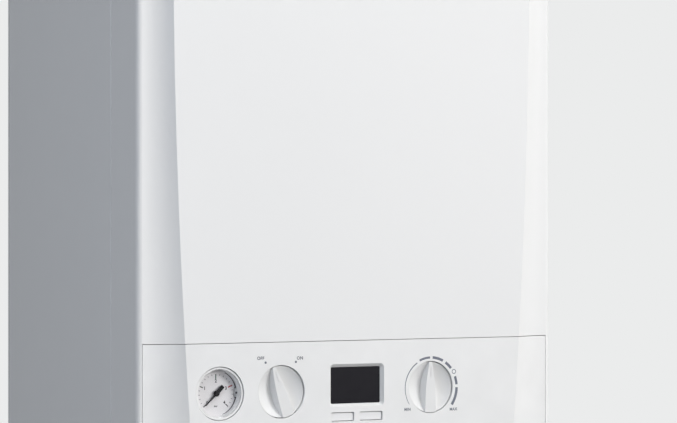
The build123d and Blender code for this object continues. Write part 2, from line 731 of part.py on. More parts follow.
def make_exchanger_shell():
    """Drum round the coil, open at the front, with flue boss, water ports and condensate drain."""
    flue = ((0, -FLUE_D, EXCHANGER_Z + SHELL_R - 25.0), (0, -FLUE_D, BOSS_TOP))
    drain = ((DRAIN_X, -FLUE_D, EXCHANGER_Z - SHELL_R + 20.0), (DRAIN_X, -FLUE_D, DRAIN_Z))
    left = ((-COIL_R, -COIL_FRONT, EXCHANGER_Z - SHELL_R / 2), (-COIL_R, -COIL_FRONT, PORT_Z))
    right = ((COIL_R, -COIL_BACK, EXCHANGER_Z - SHELL_R / 2), (COIL_R, -COIL_BACK, PORT_Z))
    middle = [(0, -depth, EXCHANGER_Z) for depth in (SHELL_BACK, SHELL_BACK + SHELL_T, SHELL_FRONT)]
    rim = (0, SHELL_T + SEAM - SHELL_FRONT, EXCHANGER_Z)
    bodies = [
        rod(middle[0], middle[2], SHELL_R),
        rod(rim, middle[2], FLANGE_R),
        rod(*flue, BOSS_R),
        rod(*drain, HOSE_R + 3.0),
        rod(*left, PORT_R),
        rod(*right, PORT_R),
    ]
    bores = [
        rod(middle[1], middle[2], SHELL_R - SHELL_T),
        rod(*flue, DUCT_R + SLIP),
        rod(*drain, HOSE_R - 1.0),
        rod(*left, PIPE_R - PIPE_WALL),
        rod(*right, PIPE_R - PIPE_WALL),
    ]
    with BuildPart() as exchanger_shell:
        add(bodies)
        add(bores, mode=Mode.SUBTRACT)
    write(exchanger_shell, "exchanger_shell")


def make_exchanger_coil():
    """Flat-sided stainless tube wound round the burner, with a straight tail down into each port."""
    length = COIL_FRONT - COIL_BACK
    tail = EXCHANGER_Z - PORT_Z - 5.0
    with BuildPart() as winding:
        with BuildLine() as turns:
            Helix(COIL_PITCH, length, COIL_R)
        with BuildSketch(Plane(origin=turns.line @ 0, x_dir=(1, 0, 0), z_dir=turns.line % 0)):
            Rectangle(COIL_W, COIL_T)
        sweep(is_frenet=True)
        for x, height in ((COIL_R, 0.0), (-COIL_R, length)):
            with BuildSketch(Plane(origin=(x, 1.0, height), x_dir=(1, 0, 0), z_dir=(0, -1, 0))):
                Circle(PIPE_R / 2)
            extrude(amount=tail + 1.0)
    with BuildPart() as exchanger_coil:
        add(Plane(origin=(0, -COIL_BACK, EXCHANGER_Z), x_dir=(1, 0, 0), z_dir=(0, -1, 0)) * winding.part)
    write(exchanger_coil, "exchanger_coil")


def make_burner_tube():
    """Cylindrical burner: closed end inside the coil, flange held between shell and door."""
    with BuildPart() as burner_tube:
        with BuildSketch(turning(0, EXCHANGER_Z)):
            with BuildLine():
                Polyline(
                    (SHELL_FRONT - BURNER_L, 0),
                    (SHELL_FRONT - BURNER_L, BURNER_R),
                    (SHELL_FRONT, BURNER_R),
                    (SHELL_FRONT, BURNER_R + BURNER_FLANGE),
                    (DOOR_BACK, BURNER_R + BURNER_FLANGE),
                    (DOOR_BACK, BURNER_R - SKIN),
                    (SHELL_FRONT - BURNER_L + SKIN, BURNER_R - SKIN),
                    (SHELL_FRONT - BURNER_L + SKIN, 0),
                    close=True,
                )
            make_face()
        revolve(axis=through(0, EXCHANGER_Z))
    write(burner_tube, "burner_tube")


def make_door_gasket():
    """Ring seal between the shell's flange and the burner door."""
    with BuildPart() as door_gasket:
        with BuildSketch(facing(SHELL_FRONT)):
            with Locations((0, EXCHANGER_Z)):
                Circle(SHELL_R - SEAM)
                Circle(SHELL_R - SHELL_T + SEAM / 2, mode=Mode.SUBTRACT)
        extrude(amount=GASKET_T)
    write(door_gasket, "door_gasket")


def make_burner_door():
    """Round cast door with cooling ribs, the mixture inlet and the electrode's hole."""
    with BuildPart() as burner_door:
        with BuildSketch(facing(DOOR_BACK)):
            with Locations((0, EXCHANGER_Z)):
                Circle(FLANGE_R)
                Circle(BURNER_R - 2.0, mode=Mode.SUBTRACT)
                with PolarLocations(BOLT_R, NUT_COUNT):
                    Circle(SLIP + NUT_R / 2, mode=Mode.SUBTRACT)
            with Locations(ELECTRODE):
                Circle(4.0, mode=Mode.SUBTRACT)
        extrude(amount=DOOR_T)
        with BuildSketch(facing(DOOR_FRONT)):
            with Locations((0, EXCHANGER_Z)):
                with PolarLocations(0.76 * SHELL_R, 10, start_angle=-55, angular_range=290):
                    SlotOverall(0.38 * SHELL_R, 5.0)
        extrude(amount=DOOR_T / 2)
    write(burner_door, "burner_door")


def make_door_nuts():
    """Studs through the flange with their nuts on the door."""
    with BuildPart(facing(0)) as door_nuts:
        with Locations((0, EXCHANGER_Z, 0)):
            with PolarLocations(BOLT_R, NUT_COUNT):
                with Locations((0, 0, SHELL_FRONT)):
                    Cylinder(NUT_R / 2, DOOR_FRONT - SHELL_FRONT + 2 * NUT_R, align=BASE)
        with BuildSketch(facing(DOOR_FRONT)):
            with Locations((0, EXCHANGER_Z)):
                with PolarLocations(BOLT_R, NUT_COUNT):
                    RegularPolygon(NUT_R, 6)
        extrude(amount=NUT_R)
    write(door_nuts, "door_nuts")


def make_mixing_manifold():
    """Cast duct that leads the mixture from the fan's outlet up the door to the burner."""
    wall = MANIFOLD_T
    foot_top = EXCHANGER_Z - FLANGE_R - 2.0
    foot_x = OUTLET_HALF + wall
    duct_x = BURNER_R + wall
    front = DOOR_FRONT + MANIFOLD_D
    mouth = (FAN_BACK + FAN_WALL, FAN_FRONT - FAN_WALL)
    with BuildPart() as mixing_manifold:
        for half, near, far, low, mode in (
            (duct_x, DOOR_FRONT, front, OUTLET_Z, Mode.ADD),
            (BURNER_R, DOOR_FRONT + wall, front - wall, OUTLET_Z + wall, Mode.SUBTRACT),
        ):
            if mode == Mode.SUBTRACT:
                slab((-foot_x, foot_x), (FAN_BACK, front), (OUTLET_Z, foot_top))
            with BuildSketch(facing(near)):
                with Locations((0, (low + EXCHANGER_Z) / 2)):
                    Rectangle(2 * half, EXCHANGER_Z - low)
                with Locations((0, EXCHANGER_Z)):
                    Circle(half)
            extrude(amount=far - near, mode=mode)
        across = (-OUTLET_HALF, OUTLET_HALF)
        slab(across, (mouth[0], front - wall), (OUTLET_Z + wall, foot_top - wall), Mode.SUBTRACT)
        slab(across, mouth, (OUTLET_Z, OUTLET_Z + wall), Mode.SUBTRACT)
        with BuildSketch(facing(DOOR_FRONT)):
            with Locations((0, EXCHANGER_Z)):
                Circle(BURNER_R - 2.0)
        extrude(amount=wall, mode=Mode.SUBTRACT)
    write(mixing_manifold, "mixing_manifold")


def make_ignition_electrode():
    """Ceramic rod through the door with its wire beside the burner."""
    with BuildPart(facing(0)) as ignition_electrode:
        with Locations((*ELECTRODE, SHELL_FRONT - 12.0)):
            Cylinder(4.0, 36.0, align=BASE)
        with Locations((*ELECTRODE, DOOR_FRONT)):
            Cylinder(6.5, 3.0, align=BASE)
        with Locations((*ELECTRODE, SHELL_FRONT - 40.0)):
            Cylinder(1.0, 30.0, align=BASE)
    write(ignition_electrode, "ignition_electrode")


# ---- fan, mixer and gas valve ---------------------------------------------------------------------


def scroll_arcs(wall):
    """Quarter arcs of the fan's volute as (centre, radius, start angle, turn), opening clockwise."""
    x, y = FAN_X + SCROLL_SHIFT[0], FAN_Z + SCROLL_SHIFT[1]
    left = FAN_X + TONGUE_X - wall
    arcs = []
    for quarter, radius in enumerate(SCROLL):
        if quarter:
            turned = radians(-90.0 * quarter)
            step = SCROLL[quarter - 1] - radius
            x, y = x + step * cos(turned), y + step * sin(turned)
        arcs.append([(x, y), radius + wall, -90.0 * quarter, -90.0])
    reach = degrees(acos((left - x) / (SCROLL[-1] + wall)))
    arcs[-1][3] = reach - 90.0
    return arcs


def make_fan_housing():
    """Spiral housing in two halves, with its inlet at the back and its outlet at the top."""
    middle = (FAN_BACK + FAN_FRONT) / 2
    with BuildPart() as fan_housing:
        for wall, near, far, top, mode in (
            (FAN_WALL, FAN_BACK, FAN_FRONT, OUTLET_Z, Mode.ADD),
            (0.0, FAN_BACK + FAN_WALL, FAN_FRONT - FAN_WALL, OUTLET_Z + SEAM, Mode.SUBTRACT),
        ):
            right, left = FAN_X + OUTLET_RIGHT + wall, FAN_X + TONGUE_X - wall
            with BuildSketch(facing(near)):
                with BuildLine():
                    for centre, radius, start, turn in scroll_arcs(wall):
                        arc = CenterArc(centre, radius, start, turn)
                    Polyline(arc @ 1, (left, top), (right, top), (right, FAN_Z + SCROLL_SHIFT[1]))
                make_face()
            extrude(amount=far - near, mode=mode)
        with BuildSketch(facing(FAN_BACK)):
            with Locations((FAN_X, FAN_Z)):
                Circle(0.68 * IMPELLER_R)
        extrude(amount=FAN_WALL, mode=Mode.SUBTRACT)
        with BuildSketch(facing(FAN_FRONT - FAN_WALL)):
            with Locations((FAN_X, FAN_Z)):
                Circle(2 * STEM_R)
        extrude(amount=FAN_WALL, mode=Mode.SUBTRACT)
        split(bisect_by=facing(middle), keep=Keep.BOTH)
    write(fan_housing, "fan_housing")


def make_fan_impeller():
    """Backward-curved blades between a hub disc and a shroud ring, on the motor's shaft."""
    back = (FAN_BACK + FAN_FRONT - IMPELLER_T) / 2
    disc = 1.5
    blade = ThreePointArc(
        (0.42 * IMPELLER_R, 0),
        (0.72 * IMPELLER_R, 0.14 * IMPELLER_R),
        (0.9 * IMPELLER_R, 0.36 * IMPELLER_R),
    )
    with BuildPart() as fan_impeller:
        with BuildSketch(facing(back)):
            with Locations((FAN_X, FAN_Z)):
                Circle(IMPELLER_R)
                Circle(0.56 * IMPELLER_R, mode=Mode.SUBTRACT)
        extrude(amount=disc)
        with BuildSketch(facing(back + IMPELLER_T - disc)):
            with Locations((FAN_X, FAN_Z)):
                Circle(IMPELLER_R)
        extrude(amount=disc)
        with BuildSketch(facing(back + disc)):
            with Locations((FAN_X, FAN_Z)):
                with PolarLocations(0, BLADES):
                    SlotArc(blade, 1.4)
        extrude(amount=IMPELLER_T - 2 * disc)
        with BuildSketch(facing(back + disc)):
            with Locations((FAN_X, FAN_Z)):
                Circle(2.4 * STEM_R)
        extrude(amount=IMPELLER_T - 2 * disc)
        with BuildSketch(facing(back + IMPELLER_T)):
            with Locations((FAN_X, FAN_Z)):
                Circle(STEM_R)
        extrude(amount=FAN_FRONT + 0.7 * MOTOR_L - back - IMPELLER_T)
    write(fan_impeller, "fan_impeller")


def make_fan_motor():
    """Ribbed motor can on the front of the fan, bored for the impeller's shaft."""
    with BuildPart(facing(0)) as fan_motor:
        with Locations((FAN_X, FAN_Z, FAN_FRONT)):
            Cylinder(MOTOR_R + 5.0, 3.0, align=BASE)
            Cylinder(MOTOR_R, MOTOR_L, align=BASE)
        rim = fan_motor.edges().filter_by(GeomType.CIRCLE).group_by(Axis.Y)[0]
        fillet(rim, 4.0)
        with Locations((FAN_X, FAN_Z, FAN_FRONT + 5.0)):
            with PolarLocations(MOTOR_R, 16):
                Box(3.0, 2.0, MOTOR_L - 12.0, align=BASE)
        with Locations((FAN_X, FAN_Z, FAN_FRONT)):
            Cylinder(STEM_R + RUNNING, 0.8 * MOTOR_L, align=BASE, mode=Mode.SUBTRACT)
    write(fan_motor, "fan_motor")


def make_venturi():
    """Air and gas mixer behind the fan: bell mouth, throat, diffuser and the gas inlet below."""
    mouth = FAN_BACK - VENTURI_L
    inlet = ((FAN_X, -THROAT_D, FAN_Z - THROAT_R - 1.0), (FAN_X, -THROAT_D, VALVE_TOP + VALVE_H / 3))
    port = rod(*inlet, GAS_R + 2.0)
    with BuildPart() as venturi:
        with BuildSketch(turning(FAN_X, FAN_Z)):
            with BuildLine():
                bell = Spline(
                    (mouth, THROAT_R + 11.0),
                    (THROAT_D, THROAT_R),
                    (FAN_BACK, 0.65 * IMPELLER_R),
                    tangents=((1, -2), (1, 0.2)),
                )
                Polyline(
                    bell @ 1,
                    (FAN_BACK, IMPELLER_R + 2.0),
                    (FAN_BACK - 4.0, IMPELLER_R + 2.0),
                    (FAN_BACK - 4.0, 0.65 * IMPELLER_R + 3.0),
                    (THROAT_D, THROAT_R + 4.0),
                    (mouth + 3.0, THROAT_R + 14.0),
                    (mouth, THROAT_R + 14.0),
                    bell @ 0,
                )
            make_face()
        revolve(axis=through(FAN_X, FAN_Z))
        add(port)
        with Locations(Plane(origin=(FAN_X, -THROAT_D, VALVE_TOP), z_dir=(0, 0, 1))):
            Cylinder(0.6 * GAS_R, FAN_Z - VALVE_TOP, align=BASE, mode=Mode.SUBTRACT)
    write(venturi, "venturi")


def make_gas_valve():
    """Cast valve body under the mixer, with two solenoids on its front."""
    neck_top = VALVE_TOP + VALVE_H / 3
    middle = (VALVE_LOW + VALVE_TOP) / 2
    front = THROAT_D + VALVE_D / 2
    with BuildPart() as gas_valve:
        with BuildSketch(level(VALVE_LOW)):
            with Locations((FAN_X, -THROAT_D)):
                RectangleRounded(VALVE_W, VALVE_D, 5.0)
        extrude(amount=VALVE_H)
        with BuildSketch(level(VALVE_TOP)):
            with Locations((FAN_X, -THROAT_D)):
                Circle(GAS_R + 2.0)
                Circle(0.6 * GAS_R, mode=Mode.SUBTRACT)
        extrude(amount=neck_top - VALVE_TOP)
        for height, radius in ((middle, 12.0), (middle, 8.0)):
            with BuildSketch(facing(front)):
                with Locations((FAN_X - VALVE_W / 4, height), (FAN_X + VALVE_W / 4, height)):
                    Circle(radius)
            extrude(amount=28.0 if radius < 10.0 else 20.0)
    write(gas_valve, "gas_valve")


def make_gas_pipe():
    """Gas supply from its connection up to the valve."""
    start = (0, -PORT_D, THREAD_END)
    end = (FAN_X, -THROAT_D, VALVE_LOW)
    knee = (FAN_X, -THROAT_D, VALVE_LOW - 22.0)
    route = [start, (0, -PORT_D, VALVE_LOW - 58.0), knee, end]
    run = bent_tube(route, [30.0, 12.0], GAS_R, GAS_R - PIPE_WALL)
    thread = rod(start, (0, -PORT_D, -THREAD_END), THREAD_22)
    bore = rod(start, (0, -PORT_D, -THREAD_END), GAS_R - PIPE_WALL)
    with BuildPart() as gas_pipe:
        add(run.part)
        add(thread)
        add(bore, mode=Mode.SUBTRACT)
    write(gas_pipe, "gas_pipe")


# ---- expansion vessel -----------------------------------------------------------------------------


def make_vessel_shells():
    """Flat round vessel of two dished shells, crimped together round the diaphragm's rim."""
    middle = (VESSEL_BACK + VESSEL_FRONT) / 2
    port_x, port_d = VESSEL_PORT
    port = ((port_x, -port_d, VESSEL_Z - VESSEL_R + 8.0), (port_x, -port_d, VESSEL_LOW))
    stub = rod(*port, HOSE_R)
    with BuildPart() as hollow:
        with BuildSketch(facing(VESSEL_BACK + VESSEL_WALL)):
            with Locations((0, VESSEL_Z)):
                Circle(VESSEL_R - VESSEL_WALL)
        extrude(amount=VESSEL_T - 2 * VESSEL_WALL)
        fillet(hollow.edges().filter_by(GeomType.CIRCLE), VESSEL_ROUND - VESSEL_WALL)
    with BuildPart() as vessel_shells:
        with BuildSketch(facing(VESSEL_BACK)):
            with Locations((0, VESSEL_Z)):
                Circle(VESSEL_R)
        extrude(amount=VESSEL_T)
        fillet(vessel_shells.edges().filter_by(GeomType.CIRCLE), VESSEL_ROUND)
        with BuildSketch(facing(middle - 2.0)):
            with Locations((0, VESSEL_Z)):
                Circle(VESSEL_R + CRIMP)
        extrude(amount=4.0)
        add(stub)
        add(hollow.part, mode=Mode.SUBTRACT)
        split(bisect_by=facing(middle), keep=Keep.BOTH)
    write(vessel_shells, "vessel_shells")


def make_vessel_diaphragm():
    """Rubber diaphragm, its dish pushed towards the wall by the charge of gas in front of it."""
    middle = (VESSEL_BACK + VESSEL_FRONT) / 2
    rim = VESSEL_R - VESSEL_WALL
    dish = 0.24 * VESSEL_T
    with BuildPart() as vessel_diaphragm:
        with BuildSketch(turning(0, VESSEL_Z)):
            with BuildLine():
                Polyline(
                    (middle - dish, 0),
                    (middle - dish, 0.7 * rim),
                    (middle, 0.94 * rim),
                    (middle, rim),
                    (middle + VESSEL_WALL, rim),
                    (middle + VESSEL_WALL, 0.94 * rim),
                    (middle - dish + VESSEL_WALL, 0.69 * rim),
                    (middle - dish + VESSEL_WALL, 0),
                    close=True,
                )
            make_face()
        revolve(axis=through(0, VESSEL_Z))
    write(vessel_diaphragm, "vessel_diaphragm")


def make_expansion_hose():
    """Flexible hose from the vessel down to the port behind the pump."""
    port_x, port_d = VESSEL_PORT
    points = [
        (port_x, -port_d, VESSEL_LOW),
        (port_x, -port_d, VESSEL_LOW - 34.0),
        (port_x + 45.0, -port_d + 14.0, VESSEL_LOW - 62.0),
        (PUMP_PORT_X, -port_d + 20.0, PUMP_PORT_Z),
        (PUMP_PORT_X, PUMP_PORT[0] - PUMP_BACK, PUMP_PORT_Z),
    ]
    tube = bent_tube(points, [20.0, 25.0, 12.0], 6.0)
    write(tube, "expansion_hose")


# ---- hydraulics -----------------------------------------------------------------------------------


def header(side, extra, holes):
    """Brass manifold along the connections on one side: header, two tails, and arms to the plates."""
    x22, x15 = side * 2 * PITCH, side * PITCH
    plate_d = -EXCHANGE_FRONT
    inner_x = side * (PITCH - HEADER_R - 3.0)
    runs = [
        ((inner_x, -PORT_D, HEADER_Z), (side * HEADER_X, -PORT_D, HEADER_Z), HEADER_R),
        ((x22, -PORT_D, THREAD_END), (x22, -PORT_D, HEADER_Z), THREAD_22),
        ((x15, -PORT_D, THREAD_END), (x15, -PORT_D, HEADER_Z), THREAD_15),
        ((side * EXCHANGE_X, plate_d, HEADER_Z), (side * EXCHANGE_X, -PORT_D, HEADER_Z), PIPE_R),
        ((side * EXCHANGE_X, plate_d, UPPER_Z), (side * EXCHANGE_X, -PORT_D - PIPE_R, UPPER_Z), PIPE_R),
    ] + extra
    solids = [rod(*run) for run in runs]
    bores = [
        rod((x22, -PORT_D, THREAD_END), (x22, -PORT_D, HEADER_Z), TAIL_22 - PIPE_WALL),
        rod((x15, -PORT_D, THREAD_END), (x15, -PORT_D, HEADER_Z), TAIL_15 - PIPE_WALL),
    ] + [rod(*hole) for hole in holes]
    with BuildPart() as block:
        add(solids)
        add(bores, mode=Mode.SUBTRACT)
    return block


def make_flow_block():
    """Flow side: diverter chamber over the heating flow, riser from the heat exchanger, gauge port."""
    chamber_x = -2 * PITCH
    extra = [
        ((chamber_x, -PORT_D, HEADER_Z - CHAMBER_R), (chamber_x, -PORT_D, CHAMBER_TOP), CHAMBER_R),
        ((-RISER_X, -PORT_D, HEADER_Z), (-RISER_X, -PORT_D, RISER_TOP), RISER_R),
        ((chamber_x, -PORT_D, UPPER_Z), (-EXCHANGE_X, -PORT_D, UPPER_Z), PIPE_R),
        ((-RELIEF_X, -PORT_D, HEADER_Z), (-RELIEF_X, -PORT_D - HEADER_R - 8.0, HEADER_Z), 5.0),
    ]
    holes = [((-RISER_X, -PORT_D, HEADER_Z), (-RISER_X, -PORT_D, RISER_TOP), PIPE_R - PIPE_WALL)]
    write(header(-1, extra, holes), "flow_block")


def make_return_block():
    """Return side: riser to the pump and the port of the relief valve."""
    riser = (PUMP_X, -PORT_D, HEADER_Z)
    extra = [
        (riser, (PUMP_X, -PORT_D, NECK_Z), HEADER_R - 1.0),
        ((EXCHANGE_X, -PORT_D, UPPER_Z), (PUMP_X, -PORT_D, UPPER_Z), PIPE_R),
        ((RELIEF_X, -PORT_D, HEADER_Z), (RELIEF_X, -PORT_D - HEADER_R - 9.0, HEADER_Z), PIPE_R),
    ]
    holes = [(riser, (PUMP_X, -PORT_D, NECK_Z), PIPE_R)]
    write(header(1, extra, holes), "return_block")


def make_plate_exchanger():
    """Brazed stack of plates that heats the tap water: each plate stands proud of the joint behind it."""
    width, height = 2 * (EXCHANGE_X + EXCHANGE_MARGIN), EXCHANGE_RISE + 2 * EXCHANGE_MARGIN
    middle = (0, (HEADER_Z + UPPER_Z) / 2)
    joint = PLATE_PITCH - PLATE_T
    with BuildPart() as plate_exchanger:
        for plate in range(PLATES):
            depth = EXCHANGE_BACK + plate * PLATE_PITCH
            with BuildSketch(facing(depth)):
                with Locations(middle):
                    RectangleRounded(width - 2.0, height - 2.0, EXCHANGE_MARGIN - 1.0)
            extrude(amount=joint)
            with BuildSketch(facing(depth + joint)):
                with Locations(middle):
                    RectangleRounded(width, height, EXCHANGE_MARGIN)
            extrude(amount=PLATE_T)
    write(plate_exchanger, "plate_exchanger")


def make_diverter_motor():
    """Clip-on actuator over the diverter chamber."""
    with BuildPart() as diverter_motor:
        with BuildSketch(level(CHAMBER_TOP)):
            with Locations((-2 * PITCH, -PORT_D)):
                RectangleRounded(2.1 * CHAMBER_R, 2.4 * CHAMBER_R, 6.0)
        extrude(amount=2.2 * CHAMBER_R)
        fillet(diverter_motor.faces().sort_by(Axis.Z)[-1].edges(), 3.0)
        with BuildSketch(facing(PORT_D + 1.2 * CHAMBER_R)):
            with Locations((-2 * PITCH, CHAMBER_TOP + CHAMBER_R)):
                RectangleRounded(CHAMBER_R, 0.7 * CHAMBER_R, 2.0)
        extrude(amount=8.0)
    write(diverter_motor, "diverter_motor")


def make_pump_housing():
    """Volute of the circulation pump with its necks, the air vent beside it and the vessel's port."""
    neck_low = (PUMP_X, -PORT_D, NECK_Z)
    middle = (PUMP_X, -PORT_D, PUMP_Z)
    vent_z = PUMP_Z + 18.0
    port = (PUMP_PORT_X, PUMP_PORT[0] - PUMP_BACK, PUMP_PORT_Z)
    runs = [
        (neck_low, middle, HEADER_R - 1.0),
        (middle, (PUMP_X, -PORT_D, PUMP_TOP), PORT_R),
        ((PUMP_X, -PORT_D, vent_z), (VENT_X, -PORT_D, vent_z), PIPE_R),
        ((VENT_X, -PORT_D, vent_z - 12.0), (VENT_X, -PORT_D, vent_z + 42.0), PORT_R),
        ((VENT_X, -PORT_D, vent_z + 42.0), (VENT_X, -PORT_D, vent_z + 50.0), PIPE_R / 2),
        (port, (PUMP_PORT_X, -PUMP_BACK - 2.0, PUMP_PORT_Z), HOSE_R),
    ]
    front = (PUMP_X, -PUMP_FRONT, PUMP_Z)
    solids = [rod(*run) for run in runs] + [rod((PUMP_X, -PUMP_BACK, PUMP_Z), front, PUMP_R)]
    bores = [
        rod((PUMP_X, -PUMP_BACK - PUMP_WALL, PUMP_Z), front, PUMP_R - PUMP_WALL),
        rod(neck_low, middle, PIPE_R),
        rod(middle, (PUMP_X, -PORT_D, PUMP_TOP), PIPE_R - PIPE_WALL),
    ]
    with BuildPart() as pump_housing:
        add(solids)
        add(bores, mode=Mode.SUBTRACT)
    write(pump_housing, "pump_housing")


def make_pump_impeller():
    """Closed impeller with curved vanes, on the shaft that runs in the motor."""
    back = PUMP_BACK + PUMP_WALL + 4.0
    disc, vane = 2.0, 14.0
    blade = ThreePointArc(
        (0.38 * ROTOR_R, 0),
        (0.7 * ROTOR_R, 0.14 * ROTOR_R),
        (0.88 * ROTOR_R, 0.34 * ROTOR_R),
    )
    with BuildPart() as pump_impeller:
        with BuildSketch(facing(back)):
            with Locations((PUMP_X, PUMP_Z)):
                Circle(ROTOR_R)
                Circle(0.4 * ROTOR_R, mode=Mode.SUBTRACT)
        extrude(amount=disc)
        with BuildSketch(facing(back + disc)):
            with Locations((PUMP_X, PUMP_Z)):
                with PolarLocations(0, VANES):
                    SlotArc(blade, 2.0)
        extrude(amount=vane)
        with BuildSketch(facing(back + disc + vane)):
            with Locations((PUMP_X, PUMP_Z)):
                Circle(ROTOR_R)
        extrude(amount=disc)
        with BuildSketch(facing(back + 2 * disc + vane)):
            with Locations((PUMP_X, PUMP_Z)):
                Circle(4.0)
        extrude(amount=PUMP_FRONT + 14.0 - back - 2 * disc - vane)
    write(pump_impeller, "pump_impeller")


def make_pump_motor():
    """Wet-rotor motor on the front of the pump, with its terminal box and vent screw."""
    with BuildPart(facing(0)) as pump_motor:
        with Locations((PUMP_X, PUMP_Z, PUMP_FRONT)):
            Cylinder(PUMP_MOTOR_R, PUMP_MOTOR_L, align=BASE)
            Cylinder(PUMP_R, 5.0, align=BASE)
        rim = pump_motor.edges().filter_by(GeomType.CIRCLE).group_by(Axis.Y)[0]
        fillet(rim, 5.0)
        with Locations((PUMP_X, PUMP_Z, PUMP_FRONT + PUMP_MOTOR_L)):
            Cylinder(10.0, 2.0, align=BASE)
        with Locations((PUMP_X + 0.35 * PUMP_MOTOR_R, PUMP_Z + PUMP_MOTOR_R, PUMP_FRONT + 10.0)):
            Box(34.0, 26.0, 40.0, align=BASE)
        with Locations((PUMP_X, PUMP_Z, PUMP_FRONT)):
            Cylinder(4.0 + RUNNING, 16.0, align=BASE, mode=Mode.SUBTRACT)
    write(pump_motor, "pump_motor")


def make_relief_valve():
    """Three bar safety valve on the return block, discharging downwards."""
    seat = -PORT_D - HEADER_R - 9.0
    spigot = RELIEF_D + 11.0
    solids = [
        rod((RELIEF_X, seat, HEADER_Z), (RELIEF_X, -spigot, HEADER_Z), 12.0),
        rod((RELIEF_X, -RELIEF_D, HEADER_Z), (RELIEF_X, -RELIEF_D, RELIEF_LOW), PIPE_R),
        rod((RELIEF_X, -spigot, HEADER_Z), (RELIEF_X, -spigot - 8.0, HEADER_Z), 4.0),
    ]
    with BuildPart() as relief_valve:
        add(solids)
    write(relief_valve, "relief_valve")


def make_relief_knob():
    """Fluted cap that lifts the safety valve's seat when it is turned."""
    back = RELIEF_D + 12.0
    with BuildPart() as relief_knob:
        with BuildSketch(facing(back)):
            with Locations((RELIEF_X, HEADER_Z)):
                Circle(RELIEF_KNOB_R)
                with PolarLocations(RELIEF_KNOB_R + 1.5, 10):
                    Circle(3.0, mode=Mode.SUBTRACT)
        extrude(amount=RELIEF_KNOB_T)
        with BuildSketch(facing(back)):
            with Locations((RELIEF_X, HEADER_Z)):
                Circle(4.0 + RUNNING)
        extrude(amount=9.0, mode=Mode.SUBTRACT)
    write(relief_knob, "relief_knob")


def make_heating_pipes():
    """Copper pipes between the heat exchanger's ports, the flow block and the pump."""
    flow = [
        (-RISER_X, -PORT_D, RISER_TOP),
        (-RISER_X, -PORT_D, PORT_Z - 45.0),
        (-COIL_R, -COIL_FRONT, PORT_Z - 16.0),
        (-COIL_R, -COIL_FRONT, PORT_Z),
    ]
    back = [
        (PUMP_X, -PORT_D, PUMP_TOP),
        (PUMP_X, -PORT_D, PORT_Z - 50.0),
        (COIL_R, -COIL_BACK, PORT_Z - 18.0),
        (COIL_R, -COIL_BACK, PORT_Z),
    ]
    write(bent_tube(flow, [28.0, 10.0], PIPE_R, PIPE_R - PIPE_WALL), "flow_pipe")
    write(bent_tube(back, [22.0, 10.0], PIPE_R, PIPE_R - PIPE_WALL), "return_pipe")


def make_condensate_trap():
    """Siphon bottle with its screwed bowl, inlet neck and the spigot through the tray."""
    with BuildPart() as condensate_trap:
        with Locations((TRAP_X, -TRAP_D, TRAP_LOW)):
            Cylinder(TRAP_R, TRAP_HIGH - TRAP_LOW, align=BASE)
        for height in (TRAP_LOW + 26.0, TRAP_HIGH - 6.0):
            with Locations((TRAP_X, -TRAP_D, height)):
                Cylinder(TRAP_R + TRAP_COLLAR, 6.0, align=BASE)
        with Locations((TRAP_X, -TRAP_D, TAIL_END)):
            Cylinder(CONDENSATE_R, SPIGOT_TOP - TAIL_END, align=BASE)
        with Locations((TRAP_X, -TRAP_D, SPIGOT_TOP)):
            Cylinder(CONDENSATE_R + SPIGOT_STEP, TRAP_LOW - SPIGOT_TOP, align=BASE)
        with Locations((TRAP_X, -TRAP_D, TAIL_END)):
            Cylinder(CONDENSATE_R - FLUE_WALL, TRAP_LOW - TAIL_END, align=BASE, mode=Mode.SUBTRACT)
    write(condensate_trap, "condensate_trap")


def make_condensate_hose():
    """Hose from the heat exchanger's drain down to the trap."""
    points = [
        (DRAIN_X, -FLUE_D, DRAIN_Z),
        (DRAIN_X, -FLUE_D, DRAIN_Z - 28.0),
        (DRAIN_X - 4.0, 22.0 - FLUE_D, DRAIN_Z - 72.0),
        (DRAIN_X - 44.0, 34.0 - FLUE_D, DRAIN_Z - 112.0),
        (DRAIN_X - 114.0, 46.0 - FLUE_D, DRAIN_Z - 122.0),
        (TRAP_X, -TRAP_D, TRAP_HIGH + 34.0),
        (TRAP_X, -TRAP_D, TRAP_HIGH),
    ]
    write(bent_tube(points, [24.0, 30.0, 40.0, 60.0, 14.0], HOSE_R), "condensate_hose")


def make_union_nuts():
    """Hexagon union nuts that draw the pipe tails up to the threads."""
    with BuildPart() as union_nuts:
        for x, tail, thread in CONNECTIONS:
            with BuildSketch(level(NUT_LOW)):
                with Locations((x, -PORT_D)):
                    RegularPolygon(thread + 4.5, 6)
                    Circle(tail + LINER, mode=Mode.SUBTRACT)
            extrude(amount=NUT_H)
            with Locations((x, -PORT_D, THREAD_END - SKIN)):
                Cylinder(thread, NUT_TOP - THREAD_END + SKIN, align=BASE, mode=Mode.SUBTRACT)
    write(union_nuts, "union_nuts")


